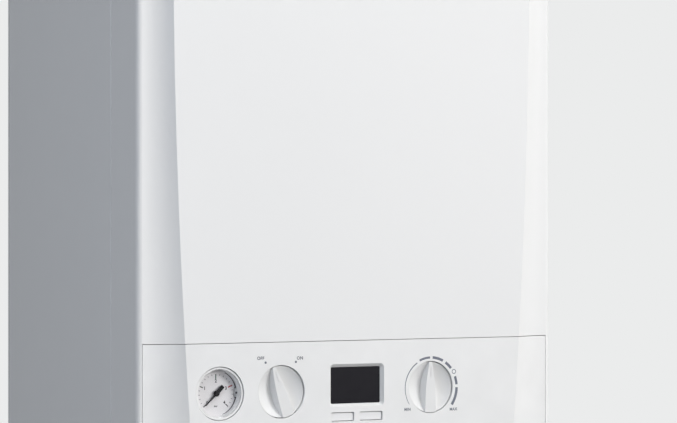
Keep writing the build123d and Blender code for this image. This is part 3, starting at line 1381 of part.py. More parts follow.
def make_pipe_tails():
    """Copper tails with a brazed liner inside each nut, and the relief valve's discharge pipe."""
    with BuildPart() as pipe_tails:
        for x, tail, thread in CONNECTIONS:
            for low, high, radius in (
                (TAIL_END, THREAD_END, tail),
                (NUT_LOW - SEAM, THREAD_END, tail + LINER),
                (THREAD_END - SKIN, THREAD_END, thread),
            ):
                with Locations((x, -PORT_D, low)):
                    Cylinder(radius, high - low, align=BASE)
            with Locations((x, -PORT_D, TAIL_END)):
                Cylinder(tail - PIPE_WALL, THREAD_END - TAIL_END, align=BASE, mode=Mode.SUBTRACT)
        for low, radius in ((TAIL_END, TAIL_15), (SPIGOT_TOP, TAIL_15 + SPIGOT_STEP)):
            with Locations((RELIEF_X, -RELIEF_D, low)):
                Cylinder(radius, RELIEF_LOW - low, align=BASE)
        with Locations((RELIEF_X, -RELIEF_D, TAIL_END)):
            Cylinder(TAIL_15 - PIPE_WALL, RELIEF_LOW - TAIL_END, align=BASE, mode=Mode.SUBTRACT)
    write(pipe_tails, "pipe_tails")


# ---- control box ----------------------------------------------------------------------------------


def make_control_fascia():
    """Moulded fascia in the front's own form, with wells for the knobs and lugs for the hinge."""
    inner_x = FASCIA_X - FASCIA_WALL
    slot_w, slot_h = BUTTON_W + 2 * BUTTON_GAP, BUTTON_H + 2 * BUTTON_GAP
    outside = front_form(0, FASCIA_BACK, 0, FASCIA_H)
    hollow = front_form(FASCIA_WALL, FASCIA_BACK - SEAM, FASCIA_WALL, FASCIA_H - FASCIA_WALL)
    with BuildPart() as inside:
        add(hollow)
        slab((-inner_x, inner_x), (0, FACE_D), (0, FASCIA_H), Mode.INTERSECT)
    with BuildPart() as control_fascia:
        add(outside)
        slab((-FASCIA_X, FASCIA_X), (0, FACE_D), (0, FASCIA_H), Mode.INTERSECT)
        add(inside.part, mode=Mode.SUBTRACT)
        # wells and collar behind the round openings
        with BuildSketch(facing(WELL_FLOOR - WELL_T)):
            with Locations(*KNOBS):
                Circle(KNOB_HOLE + WELL_T)
            with Locations((GAUGE_X, DIAL_Z)):
                Circle(GAUGE_R + GAUGE_GAP + WELL_T)
        extrude(amount=FACE_IN + SEAM / 2 - WELL_FLOOR + WELL_T)
        # frames behind the display and the buttons
        with BuildSketch(facing(WINDOW_FRONT - WINDOW_T - SEAM)):
            with Locations((0, DISPLAY_Z)):
                RectangleRounded(DISPLAY_W + 6.0, DISPLAY_H + 4.0, 4.0)
        extrude(amount=FACE_IN - WINDOW_FRONT + WINDOW_T + SEAM + 0.5)
        with BuildSketch(facing(FACE_IN - 7.0)):
            with Locations(*BUTTONS):
                Rectangle(slot_w + 2 * WELL_T, slot_h + 2 * WELL_T)
        extrude(amount=7.5)
        # rib that the control housing closes on
        with BuildSketch(facing(BOX_FRONT)):
            with Locations((0, (BOX_LOW + BOX_HIGH) / 2)):
                Rectangle(2 * BOX_X, BOX_HIGH - BOX_LOW)
                Rectangle(2 * (BOX_X - BOX_WALL), BOX_HIGH - BOX_LOW - 2 * BOX_WALL, mode=Mode.SUBTRACT)
        extrude(amount=FACE_IN - SEAM / 2 - BOX_FRONT)
        # openings
        with BuildSketch(facing(WELL_FLOOR)):
            with Locations(*KNOBS):
                Circle(KNOB_HOLE)
        extrude(amount=FACE_D - WELL_FLOOR, mode=Mode.SUBTRACT)
        with BuildSketch(facing(WELL_FLOOR - WELL_T)):
            with Locations(*KNOBS):
                Circle(2 * STEM_R)
            with Locations((GAUGE_X, DIAL_Z)):
                Circle(GAUGE_R + GAUGE_GAP)
        extrude(amount=FACE_D - WELL_FLOOR + WELL_T, mode=Mode.SUBTRACT)
        for depth, grow in ((WINDOW_FRONT, 0.0), (FACE_D, DISPLAY_BEVEL)):
            with BuildSketch(facing(depth)):
                with Locations((0, DISPLAY_Z)):
                    RectangleRounded(WINDOW_W + 2 * grow, WINDOW_H + 2 * grow, 1.2 + grow)
        loft(mode=Mode.SUBTRACT)
        with BuildSketch(facing(WINDOW_FRONT - WINDOW_T - SEAM)):
            with Locations((0, DISPLAY_Z)):
                RectangleRounded(WINDOW_W, WINDOW_H, 1.2)
        extrude(amount=WINDOW_T + SEAM, mode=Mode.SUBTRACT)
        with BuildSketch(facing(FACE_IN - 7.0)):
            with Locations(*BUTTONS):
                RectangleRounded(slot_w, slot_h, 1.2)
        extrude(amount=7.0 + FASCIA_WALL, mode=Mode.SUBTRACT)
        # hinge lugs with their pins
        for side in (-1, 1):
            near = side * LUG_X if side < 0 else LUG_X - LUG_T
            with BuildSketch(side_on(near)):
                with Locations((-(PIVOT_D + CASE_D - SEAM) / 2, PIVOT_Z)):
                    Rectangle(CASE_D - SEAM - PIVOT_D, 2 * LUG_R)
                with Locations((-PIVOT_D, PIVOT_Z)):
                    Circle(LUG_R)
            extrude(amount=LUG_T)
            reach = ARM_X + ARM_T + 2.0
            with BuildSketch(side_on(side * (LUG_X - LUG_T / 2))):
                with Locations((-PIVOT_D, PIVOT_Z)):
                    Circle(PIVOT_R)
            extrude(amount=side * (reach - LUG_X + LUG_T / 2))
    write(control_fascia, "control_fascia")


def make_control_housing():
    """Frame of the control box: four walls, ledges for the board, and tube holes on the hinge line."""
    middle = (0, (BOX_LOW + BOX_HIGH) / 2)
    height = BOX_HIGH - BOX_LOW
    with BuildPart() as control_housing:
        with BuildSketch(facing(BOX_BACK)):
            with Locations(middle):
                Rectangle(2 * BOX_X, height)
                Rectangle(2 * (BOX_X - BOX_WALL), height - 2 * BOX_WALL, mode=Mode.SUBTRACT)
        extrude(amount=BOX_FRONT - BOX_BACK)
        for low in (BOX_LOW + BOX_WALL, BOX_HIGH - BOX_WALL - LEDGE):
            slab((BOARD_LEFT, BOARD_RIGHT), (BOARD_D - BOX_WALL, BOARD_D), (low, low + LEDGE))
        with BuildSketch(side_on(-BOX_X)):
            with Locations((-PIVOT_D, PIVOT_Z)):
                Circle(2 * CAPILLARY_R)
        extrude(amount=BOX_WALL, mode=Mode.SUBTRACT)
    write(control_housing, "control_housing")


def make_control_cover():
    """Rear cover of the control box, with a row of vent slots and four screws' holes."""
    with BuildPart() as control_cover:
        with BuildSketch(facing(BOX_BACK - COVER_T)):
            with Locations((0, (BOX_LOW + BOX_HIGH) / 2)):
                RectangleRounded(2 * BOX_X, BOX_HIGH - BOX_LOW, 3.0)
            with Locations((0, BOX_HIGH - 20.0)):
                with GridLocations(12.0, 1, 12, 1):
                    SlotOverall(18.0, 4.0, rotation=90, mode=Mode.SUBTRACT)
        extrude(amount=COVER_T)
    write(control_cover, "control_cover")


def make_main_board():
    """Circuit board with the knobs' switches, the buttons' key switches, display and power parts."""
    low, high = BOX_LOW + BOX_WALL + SEAM, BOX_HIGH - BOX_WALL - SEAM
    key_top = BUTTON_BACK - BUTTON_TRAVEL - 0.1
    display_back = WINDOW_FRONT - WINDOW_T - 10.0
    with BuildPart() as main_board:
        slab((BOARD_LEFT, BOARD_RIGHT), (BOARD_D, BOARD_FRONT), (low, high))
        with BuildSketch(facing(BOARD_FRONT)):
            with Locations(*KNOBS):
                Circle(SWITCH_R)
        extrude(amount=SWITCH_L)
        with BuildSketch(facing(KNOB_BACK - STEM_L - SEAM)):
            with Locations(*KNOBS):
                Circle(STEM_R + RUNNING)
        extrude(amount=STEM_L, mode=Mode.SUBTRACT)
        with BuildSketch(facing(BOARD_FRONT)):
            with Locations(*BUTTONS):
                Rectangle(6.0, 6.0)
        extrude(amount=4.0)
        with BuildSketch(facing(BOARD_FRONT + 4.0)):
            with Locations(*BUTTONS):
                Circle(1.75)
        extrude(amount=key_top - BOARD_FRONT - 4.0)
        with BuildSketch(facing(BOARD_FRONT)):
            with Locations((0, DISPLAY_Z)):
                with GridLocations(WINDOW_W - 8.0, WINDOW_H - 8.0, 2, 2):
                    Circle(2.0)
        extrude(amount=display_back - BOARD_FRONT)
        with BuildSketch(facing(display_back)):
            with Locations((0, DISPLAY_Z)):
                Rectangle(WINDOW_W - 2 * SEAM, WINDOW_H - 2 * SEAM)
        extrude(amount=10.0 - SLIP)
        # power parts and plugs on the rear of the board
        back_parts = [
            (BOARD_RIGHT - 26.0, low + 27.0, *TRANSFORMER, BOARD_D - BOX_BACK - TRANSFORMER_GAP)
        ]
        for place in range(RELAY_COUNT):
            back_parts.append((BOARD_LEFT + 108.0 + RELAY_PITCH * place, high - 19.0, *RELAY))
        for place in range(PLUG_COUNT):
            back_parts.append((BOARD_LEFT + 18.0 + PLUG_PITCH * place, low + 13.0, *PLUG))
        for x, z, width, height, thick in back_parts:
            with Locations((x, -(BOARD_D - thick / 2), z)):
                Box(width, thick, height)
    write(main_board, "main_board")


def make_display_window():
    """Tinted window at the bottom of the display's bevelled recess."""
    with BuildPart() as display_window:
        with BuildSketch(facing(WINDOW_FRONT - WINDOW_T)):
            with Locations((0, DISPLAY_Z)):
                RectangleRounded(WINDOW_W - 2 * SLIP, WINDOW_H - 2 * SLIP, 1.1)
        extrude(amount=WINDOW_T)
    write(display_window, "display_window")


def knob_plane(x, turned, depth):
    """Plane across a knob's axis, turned to the left, seen from the front."""
    angle = radians(turned)
    return Plane(origin=(x, -depth, DIAL_Z), x_dir=(cos(angle), 0, sin(angle)), z_dir=(0, -1, 0))


def make_knob(x, turned, node):
    """Knob flush with the fascia: a dished disc crossed by a grip ridge that tapers to the pointer."""
    dish_r = KNOB_R - KNOB_RIM
    ball_r = (dish_r**2 + DISH**2) / (2 * DISH)
    top = KNOB_FRONT + KNOB_SINK
    root = KNOB_FRONT - DISH - 1.0
    end = KNOB_R * 1.02
    reversed_top = Plane(
        origin=(x, -top, DIAL_Z), x_dir=-knob_plane(x, turned, top).x_dir, z_dir=(0, 1, 0)
    )
    with BuildPart() as ridge:
        with BuildSketch(reversed_top):
            with BuildLine():
                left, right = [
                    ThreePointArc((s * RIDGE_TIP, end), (s * RIDGE_MID, end / 5), (s * RIDGE_TAIL, -end))
                    for s in (-0.5, 0.5)
                ]
                Line(left @ 0, right @ 0)
                Line(left @ 1, right @ 1)
            make_face()
        extrude(amount=top - root, taper=-RIDGE_DRAFT)
        with BuildSketch(knob_plane(x, turned, KNOB_BACK)):
            Circle(KNOB_R)
        extrude(amount=top - KNOB_BACK, mode=Mode.INTERSECT)
        with BuildSketch(knob_plane(x, turned, top)):
            with Locations((0, end - POINTER_L)):
                SlotOverall(POINTER_L, POINTER_W, rotation=90)
        extrude(amount=-POINTER_T, mode=Mode.SUBTRACT)
    back = (x, -KNOB_BACK, DIAL_Z)
    disc = rod(back, (x, -KNOB_FRONT, DIAL_Z), KNOB_R)
    stem = rod((x, STEM_L - KNOB_BACK, DIAL_Z), back, STEM_R)
    with BuildPart() as knob:
        add(disc)
        with Locations((x, DISH - KNOB_FRONT - ball_r, DIAL_Z)):
            Sphere(ball_r, mode=Mode.SUBTRACT)
        fillet(knob.edges().filter_by(GeomType.CIRCLE).group_by(Axis.Y)[0], KNOB_EDGE)
        add(ridge.part)
        add(stem)
    write(knob, node)


def make_button(x, node):
    """Push button: slightly dished cap, collar behind the fascia's frame and a stem to its switch."""
    collar = FACE_IN - 7.0 - SEAM / 2
    with BuildPart() as button:
        with BuildSketch(facing(collar)):
            with Locations((x, BUTTON_Z)):
                RectangleRounded(BUTTON_W, BUTTON_H, 0.8)
        extrude(amount=BUTTON_FRONT - collar)
        fillet(button.faces().sort_by(Axis.Y)[0].edges(), 0.4)
        with BuildSketch(facing(collar - 1.5)):
            with Locations((x, BUTTON_Z)):
                Rectangle(BUTTON_W + 3.0, BUTTON_H + 3.0)
        extrude(amount=1.5)
        with BuildSketch(facing(BUTTON_BACK)):
            with Locations((x, BUTTON_Z)):
                Rectangle(5.0, 4.0)
        extrude(amount=collar - 1.5 - BUTTON_BACK)
    write(button, node)


# ---- gauge ----------------------------------------------------------------------------------------


def make_gauge_case():
    """Round case with its bezel, the seats of lens and dial, the rear union and a dial peg."""
    front = FACE_D - GAUGE_SINK
    lens_back = front - LENS_T - 0.2
    collar_back = WELL_FLOOR - WELL_T
    with BuildPart() as gauge_case:
        with BuildSketch(turning(GAUGE_X, DIAL_Z)):
            with BuildLine():
                Polyline(
                    (GAUGE_BACK - 8.0, 0),
                    (GAUGE_BACK - 8.0, 5.0),
                    (GAUGE_BACK, 5.0),
                    (GAUGE_BACK, BEZEL_R + 0.6),
                    (collar_back - 2.5, BEZEL_R + 0.6),
                    (collar_back - 2.5, GAUGE_R + 2.0),
                    (collar_back, GAUGE_R + 2.0),
                    (collar_back, GAUGE_R),
                    (front, GAUGE_R),
                    (front, BEZEL_R + 0.8),
                    (lens_back, BEZEL_R + 0.8),
                    (lens_back, BEZEL_R),
                    (DIAL_BACK, BEZEL_R),
                    (DIAL_BACK, BEZEL_R - 1.8),
                    (GAUGE_BACK + 3.0, BEZEL_R - 1.8),
                    (GAUGE_BACK + 3.0, 0),
                    close=True,
                )
            make_face()
        revolve(axis=through(GAUGE_X, DIAL_Z))
        with BuildSketch(facing(DIAL_BACK - 3.0)):
            with Locations((GAUGE_X + BEZEL_R - 1.4, DIAL_Z)):
                Circle(1.0)
        extrude(amount=5.5)
    write(gauge_case, "gauge_case")


def make_gauge_dial():
    """Printed dial plate, notched for the peg of the case."""
    with BuildPart() as gauge_dial:
        with BuildSketch(facing(DIAL_BACK)):
            with Locations((GAUGE_X, DIAL_Z)):
                Circle(BEZEL_R - SLIP)
                Circle(1.3, mode=Mode.SUBTRACT)
            with Locations((GAUGE_X + BEZEL_R, DIAL_Z)):
                Rectangle(6.0, 6.5, mode=Mode.SUBTRACT)
        extrude(amount=DIAL_T)
    write(gauge_dial, "gauge_dial")


def make_gauge_needle():
    """Needle at zero: tapered pointer, counterweight and hub on a thin arbor."""
    plane = Plane(
        origin=(GAUGE_X, -(DIAL_BACK + DIAL_T + 1.2), DIAL_Z),
        x_dir=(-cos(radians(45)), 0, sin(radians(45))),
        z_dir=(0, -1, 0),
    )
    with BuildPart() as gauge_needle:
        with BuildSketch(plane):
            with BuildLine():
                Polyline((-1.0, 0), (-0.25, NEEDLE_L), (0.25, NEEDLE_L), (1.0, 0), close=True)
            make_face()
            with Locations((0, -NEEDLE_TAIL / 2)):
                RectangleRounded(3.3, NEEDLE_TAIL, 0.4)
            Circle(2.6)
        extrude(amount=0.7)
        with BuildSketch(plane.offset(-0.6)):
            Circle(1.8)
        extrude(amount=2.2)
        with BuildSketch(plane.offset(-9.0)):
            Circle(0.7)
        extrude(amount=9.0)
    write(gauge_needle, "gauge_needle")


def make_gauge_lens():
    """Clear lens in front of the needle."""
    front = FACE_D - GAUGE_SINK
    with BuildPart() as gauge_lens:
        with BuildSketch(facing(front - LENS_T - 0.2)):
            with Locations((GAUGE_X, DIAL_Z)):
                Circle(BEZEL_R + 0.7)
        extrude(amount=LENS_T)
    write(gauge_lens, "gauge_lens")


def make_capillary():
    """The gauge's tube in two lengths that meet end to end on the hinge line."""
    meet = -BOX_X
    moving = [
        (GAUGE_X, 8.0 - GAUGE_BACK, DIAL_Z),
        (GAUGE_X, 22.0 - GAUGE_BACK, DIAL_Z),
        (GAUGE_X, 22.0 - GAUGE_BACK, PIVOT_Z + 14.0),
        (GAUGE_X, -PIVOT_D, PIVOT_Z),
        (meet, -PIVOT_D, PIVOT_Z),
    ]
    fixed = [
        (meet, -PIVOT_D, PIVOT_Z),
        (meet - 9.0, -PIVOT_D, PIVOT_Z),
        (meet - 9.0, -BOX_BACK, PIVOT_Z + 6.0),
        (-RELIEF_X, -RELIEF_D - 12.0, HEADER_Z),
        (-RELIEF_X, -PORT_D - HEADER_R - 8.0, HEADER_Z),
    ]
    write(bent_tube(moving, [6.0, 10.0, 7.0], CAPILLARY_R), "capillary_moving")
    write(bent_tube(fixed, [6.0, 20.0, 8.0], CAPILLARY_R), "capillary_fixed")


make_front_panel()
make_panel_studs()
make_spring_clips()
make_side_panel(-1, "side_panel_left")
make_side_panel(1, "side_panel_right")
make_back_plate()
make_wall_bracket()
make_top_panel()
make_bottom_tray()
make_hinge_brackets()
make_support_shelf()
make_flue_collar()
make_flue_duct()
make_exchanger_shell()
make_exchanger_coil()
make_burner_tube()
make_door_gasket()
make_burner_door()
make_door_nuts()
make_mixing_manifold()
make_ignition_electrode()
make_fan_housing()
make_fan_impeller()
make_fan_motor()
make_venturi()
make_gas_valve()
make_gas_pipe()
make_vessel_shells()
make_vessel_diaphragm()
make_expansion_hose()
make_flow_block()
make_return_block()
make_plate_exchanger()
make_diverter_motor()
make_pump_housing()
make_pump_impeller()
make_pump_motor()
make_relief_valve()
make_relief_knob()
make_heating_pipes()
make_condensate_trap()
make_condensate_hose()
make_union_nuts()
make_pipe_tails()
make_control_fascia()
make_control_housing()
make_control_cover()
make_main_board()
make_display_window()
make_knob(MODE_X, MODE_REST, "mode_knob")
make_knob(TEMPERATURE_X, 0.0, "temperature_knob")
make_button(BUTTONS[0][0], "left_button")
make_button(BUTTONS[1][0], "right_button")
make_gauge_case()
make_gauge_dial()
make_gauge_needle()
make_gauge_lens()
make_capillary()
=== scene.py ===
import json
import math

import bmesh
import bpy
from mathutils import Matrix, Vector


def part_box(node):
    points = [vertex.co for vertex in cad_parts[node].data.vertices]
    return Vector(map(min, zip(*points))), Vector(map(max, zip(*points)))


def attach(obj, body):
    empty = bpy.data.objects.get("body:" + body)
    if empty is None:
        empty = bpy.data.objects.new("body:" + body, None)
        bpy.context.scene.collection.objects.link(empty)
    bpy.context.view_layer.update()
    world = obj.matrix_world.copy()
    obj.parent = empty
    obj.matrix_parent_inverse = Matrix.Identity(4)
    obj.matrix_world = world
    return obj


# A wall-hung combi boiler seen from its front left. The frame is in metres, and its front faces -Y.
# Sizes of the printing are in mm, and its angles in degrees, clockwise from the top.

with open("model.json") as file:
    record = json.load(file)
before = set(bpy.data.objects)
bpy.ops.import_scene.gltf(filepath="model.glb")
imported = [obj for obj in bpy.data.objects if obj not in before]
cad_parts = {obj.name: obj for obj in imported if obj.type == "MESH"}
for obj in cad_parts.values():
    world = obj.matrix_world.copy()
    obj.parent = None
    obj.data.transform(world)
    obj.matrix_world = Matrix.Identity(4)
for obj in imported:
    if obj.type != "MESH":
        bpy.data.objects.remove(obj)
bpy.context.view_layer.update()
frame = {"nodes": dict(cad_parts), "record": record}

MM = 0.001

# ---- materials ------------------------------------------------------------------------------------


def srgb(red, green, blue):
    """Linear colour of an sRGB colour given in 0 to 255, by the standard's curve."""
    parts = [value / 255 for value in (red, green, blue)]
    linear = [v / 12.92 if v <= 0.04045 else ((v + 0.055) / 1.055) ** 2.4 for v in parts]
    return (*linear, 1.0)


class Shade:
    """A Principled material with procedural layers. Scales are per metre, depths in mm."""

    def __init__(self, name, colour, roughness, **sockets):
        self.name = name
        self.colour = colour
        self.material = bpy.data.materials.new(name)
        self.material.use_nodes = True
        self.material.diffuse_color = colour
        self.nodes = self.material.node_tree.nodes
        self.links = self.material.node_tree.links
        self.place = self.nodes.new("ShaderNodeTexCoord").outputs["Object"]
        self.shader = self.nodes["Principled BSDF"]
        values = {"Base_Color": colour, "Roughness": roughness, **sockets}
        for socket, value in values.items():
            self.shader.inputs[socket.replace("_", " ")].default_value = value

    def stretched(self, scale):
        """Object coordinates stretched along the axes."""
        node = self.nodes.new("ShaderNodeMapping")
        node.inputs["Scale"].default_value = scale
        self.links.new(self.place, node.inputs["Vector"])
        return node.outputs["Vector"]

    def noise(self, scale, detail=2.0, place=None):
        """Cloudy value from 0 to 1."""
        node = self.nodes.new("ShaderNodeTexNoise")
        node.inputs["Scale"].default_value = scale
        node.inputs["Detail"].default_value = detail
        self.links.new(place or self.place, node.inputs["Vector"])
        return node.outputs["Fac"]

    def cells(self, scale, feature="F1", output="Color"):
        """Irregular cells, by default with a value of its own for each."""
        node = self.nodes.new("ShaderNodeTexVoronoi")
        node.feature = feature
        node.inputs["Scale"].default_value = scale
        self.links.new(self.place, node.inputs["Vector"])
        return node.outputs[output]

    def vary(self, socket, value, first, second, start=0.3, end=0.7):
        """A socket goes from one colour or number to another as a value goes from start to end."""
        node = self.nodes.new("ShaderNodeValToRGB")
        for stop, place, look in zip(node.color_ramp.elements, (start, end), (first, second)):
            stop.position = place
            stop.color = look if isinstance(look, tuple) else (look, look, look, 1.0)
        self.links.new(value, node.inputs["Fac"])
        self.links.new(node.outputs["Color"], self.shader.inputs[socket])

    def tint(self, value, spread):
        """Colour wanders between a darker and a lighter one."""
        darker = tuple(part * (1.0 - spread) for part in self.colour[:3]) + (1.0,)
        lighter = tuple(min(part * (1.0 + spread), 1.0) for part in self.colour[:3]) + (1.0,)
        self.vary("Base Color", value, darker, lighter)

    def stain(self, value, colour):
        """Another colour shows in places."""
        self.vary("Base Color", value, colour, self.colour)

    def polish(self, value, low, high):
        """Roughness wanders between two values."""
        self.vary("Roughness", value, low, high)

    def bump(self, height, depth):
        """Relief of a depth in mm."""
        node = self.nodes.new("ShaderNodeBump")
        node.inputs["Distance"].default_value = depth * MM
        self.links.new(height, node.inputs["Height"])
        self.links.new(node.outputs["Normal"], self.shader.inputs["Normal"])


def powder_coat(name, colour, roughness=0.42, **sockets):
    """Sprayed and baked paint with a faint orange peel."""
    shade = Shade(name, colour, roughness, **sockets)
    shade.tint(shade.noise(scale=4.0), spread=0.006)
    shade.polish(shade.noise(scale=60.0), low=roughness - 0.03, high=roughness + 0.04)
    shade.bump(shade.noise(scale=420.0, detail=1.0), depth=0.006)
    return shade


def moulded(name, colour, roughness=0.5, grain=1400.0, depth=0.004, **sockets):
    """Injection moulded plastic with a fine spark-eroded grain."""
    shade = Shade(name, colour, roughness, **sockets)
    shade.tint(shade.noise(scale=35.0), spread=0.02)
    shade.polish(shade.noise(scale=220.0), low=roughness - 0.04, high=roughness + 0.05)
    shade.bump(shade.noise(scale=grain), depth)
    return shade


def galvanised(name, colour):
    """Zinc-coated sheet: spangles of slightly different grey."""
    shade = Shade(name, colour, roughness=0.42, Metallic=0.85)
    spangles = shade.cells(scale=150.0)
    shade.tint(spangles, spread=0.05)
    shade.polish(spangles, low=0.36, high=0.48)
    shade.bump(shade.noise(scale=300.0), depth=0.004)
    return shade


def cast(name, colour, metallic=0.9, roughness=0.45, grain=520.0, depth=0.04):
    """Cast or die-cast metal with a granular skin."""
    shade = Shade(name, colour, roughness, Metallic=metallic)
    shade.tint(shade.noise(scale=28.0, detail=4.0), spread=0.12)
    shade.polish(shade.noise(scale=90.0, detail=3.0), low=roughness - 0.1, high=roughness + 0.12)
    shade.bump(shade.noise(scale=grain, detail=3.0), depth)
    return shade


def drawn(name, colour, oxide):
    """Drawn tube, a little oxidised in places."""
    shade = Shade(name, colour, roughness=0.28, Metallic=1.0)
    shade.stain(shade.noise(scale=38.0, detail=5.0), oxide)
    shade.polish(shade.noise(scale=70.0, detail=4.0), low=0.22, high=0.48)
    shade.bump(shade.noise(scale=240.0, detail=1.0), depth=0.006)
    return shade


def brushed(name, colour, stretch):
    """Rolled or brushed metal with lines along one direction."""
    shade = Shade(name, colour, roughness=0.3, Metallic=1.0)
    lines = shade.noise(scale=1.0, detail=3.0, place=shade.stretched(stretch))
    shade.tint(lines, spread=0.08)
    shade.polish(lines, low=0.25, high=0.45)
    shade.bump(lines, depth=0.01)
    return shade


def rubbery(name, colour):
    """Moulded rubber, dusty and matt."""
    shade = Shade(name, colour, roughness=0.72)
    shade.tint(shade.noise(scale=50.0, detail=4.0), spread=0.35)
    shade.polish(shade.noise(scale=120.0, detail=3.0), low=0.6, high=0.85)
    shade.bump(shade.noise(scale=900.0), depth=0.02)
    return shade


def circuit_board(name):
    """Green solder mask with paler copper tracks under it, along the edges of cells."""
    shade = Shade(name, srgb(22, 92, 52), roughness=0.35)
    edges = shade.cells(scale=180.0, feature="DISTANCE_TO_EDGE", output="Distance")
    shade.vary("Base Color", edges, srgb(46, 128, 72), srgb(18, 78, 44), start=0.02, end=0.08)
    shade.polish(shade.noise(scale=200.0), low=0.28, high=0.42)
    shade.bump(edges, depth=0.02)
    return shade


def heat_tinted(name):
    """Stainless steel, straw coloured where the flame has been."""
    shade = Shade(name, srgb(196, 190, 180), roughness=0.3, Metallic=1.0)
    shade.stain(shade.noise(scale=18.0, detail=4.0), srgb(150, 122, 92))
    shade.polish(shade.noise(scale=60.0, detail=3.0), low=0.24, high=0.45)
    shade.bump(shade.noise(scale=300.0), depth=0.006)
    return shade


WHITE = srgb(240, 240, 240)
SATIN = 0.3  # specular level of the casing, the fascia and the knobs
SHADES = (
    powder_coat("white_paint", WHITE, Specular_IOR_Level=SATIN),
    moulded("white_plastic", WHITE, roughness=0.45, depth=0.002, Specular_IOR_Level=SATIN),
    moulded(
        "knob_plastic",
        srgb(234, 234, 234),
        roughness=0.45,
        depth=0.002,
        Specular_IOR_Level=SATIN,
    ),
    moulded("button_plastic", srgb(236, 236, 237), roughness=0.4, depth=0.002),
    galvanised("galvanised", srgb(188, 190, 192)),
    brushed("zinc", srgb(205, 203, 194), stretch=(300, 300, 40)),
    brushed("spring_steel", srgb(110, 112, 118), stretch=(300, 40, 300)),
    moulded("flue_plastic", srgb(232, 232, 228), grain=700.0, depth=0.01),
    cast("cast_aluminium", srgb(190, 192, 194)),
    heat_tinted("coil_steel"),
    heat_tinted("burner_steel"),
    rubbery("gasket", srgb(70, 70, 74)),
    rubbery("black_rubber", srgb(34, 34, 35)),
    moulded("ceramic", srgb(236, 232, 220), roughness=0.22, grain=500.0),
    moulded("black_plastic", srgb(36, 36, 38), roughness=0.45, grain=900.0, depth=0.02),
    moulded("grey_plastic", srgb(110, 112, 116), grain=700.0, depth=0.02),
    powder_coat("vessel_red", srgb(178, 26, 22), roughness=0.3),
    cast("brass", srgb(205, 168, 98), metallic=1.0, roughness=0.34, grain=600.0, depth=0.02),
    drawn("copper", srgb(214, 134, 98), oxide=srgb(150, 86, 62)),
    brushed("brazed_steel", srgb(196, 192, 186), stretch=(40, 900, 40)),
    cast("pump_iron", srgb(84, 88, 94), metallic=0.25, roughness=0.5, grain=380.0, depth=0.09),
    powder_coat("pump_motor_paint", srgb(52, 55, 60), roughness=0.36),
    moulded("red_plastic", srgb(188, 24, 20), roughness=0.32, grain=900.0, depth=0.006),
    powder_coat("gas_yellow", srgb(222, 178, 44), roughness=0.36),
    circuit_board("board_green"),
    moulded("box_plastic", srgb(176, 178, 182), grain=900.0, depth=0.012),
    moulded(
        "tinted_window",
        srgb(24, 23, 29),
        roughness=0.22,
        grain=900.0,
        depth=0.0005,
        Specular_IOR_Level=0.12,
    ),
    moulded("dial_white", srgb(234, 232, 234), depth=0.001),
    powder_coat("needle_black", srgb(14, 14, 18), roughness=0.5, Specular_IOR_Level=0.2),
    Shade("clear_lens", srgb(24, 24, 30), roughness=0.05, Alpha=0.03),
)
MATERIALS = {shade.name: shade.material for shade in SHADES}

INK_COLOURS = {
    "mark_ink": srgb(106, 111, 124),
    "text_ink": srgb(92, 94, 104),
    # the dial's dark ink is used for its print and also for the painted shadow at the dial's edge
    "dial_ink_and_shadow": srgb(40, 38, 46),
    "faint_ink": srgb(146, 145, 152),
    "red_ink": srgb(176, 52, 60),
    "green_ink": srgb(58, 96, 84),
}
INKS = {
    name: powder_coat(name, colour, roughness=0.5).material
    for name, colour in INK_COLOURS.items()
}


def dress_frame():
    """Each carried-over node gets the material of its slot in the record."""
    slots = {entry["node"]: entry["material_slot"] for entry in frame["record"]["subparts"]}
    for node, obj in frame["nodes"].items():
        for slot in obj.material_slots:
            slot.material = MATERIALS[slots[node]]


# ---- printing on the fascia and the dial, and a painted shadow at the dial's edge -----------------


def middle_of(node):
    """Middle of a node's box as the front shows it: x and z in metres."""
    low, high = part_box(node)
    return (low[0] + high[0]) / 2, (low[2] + high[2]) / 2


def front_of(node):
    """The y of a node's foremost point, in metres."""
    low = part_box(node)[0]
    return low[1]


MODE_AT = middle_of("mode_knob")
TEMPERATURE_AT = middle_of("temperature_knob")
DIAL_AT = middle_of("gauge_dial")

PRINT_LIFT = 0.05  # printing stands this far off what carries it
PEG_RISE = 1.7  # the peg beside the dial ends this far in front of it

# What carries printing: the y of the print, and the slot of its finish.
FASCIA = (front_of("control_fascia") - PRINT_LIFT * MM, "white_plastic")
DIAL = (front_of("gauge_dial") - PRINT_LIFT * MM, "dial_white")
PEG_END = (front_of("gauge_dial") - PEG_RISE * MM - PRINT_LIFT * MM, "white_plastic")

ARC_STEP = 3  # each quad of an arc covers this many degrees or a little more
DISC_SIDES = 24

CAPITAL_SHARE = 0.7  # height of a capital as a share of the font's size
LETTER_SPACING = 1.08  # as a share of the font's own
LETTER_WEIGHT = 0.045  # growth of a letter's outline as a share of a capital's height

# Beside the mode knob. A word's place is counted to the right of the knob's middle and upwards.
MODE_DOTS = ((-31, 28.4), (29, 27.8))  # angle and reach of the off and the on dot
MODE_DOT_RADIUS = 1.0
MODE_WORDS = {"OFF": (-19.2, 27.9), "ON": (17.3, 27.3)}
MODE_CAPITAL = 2.5

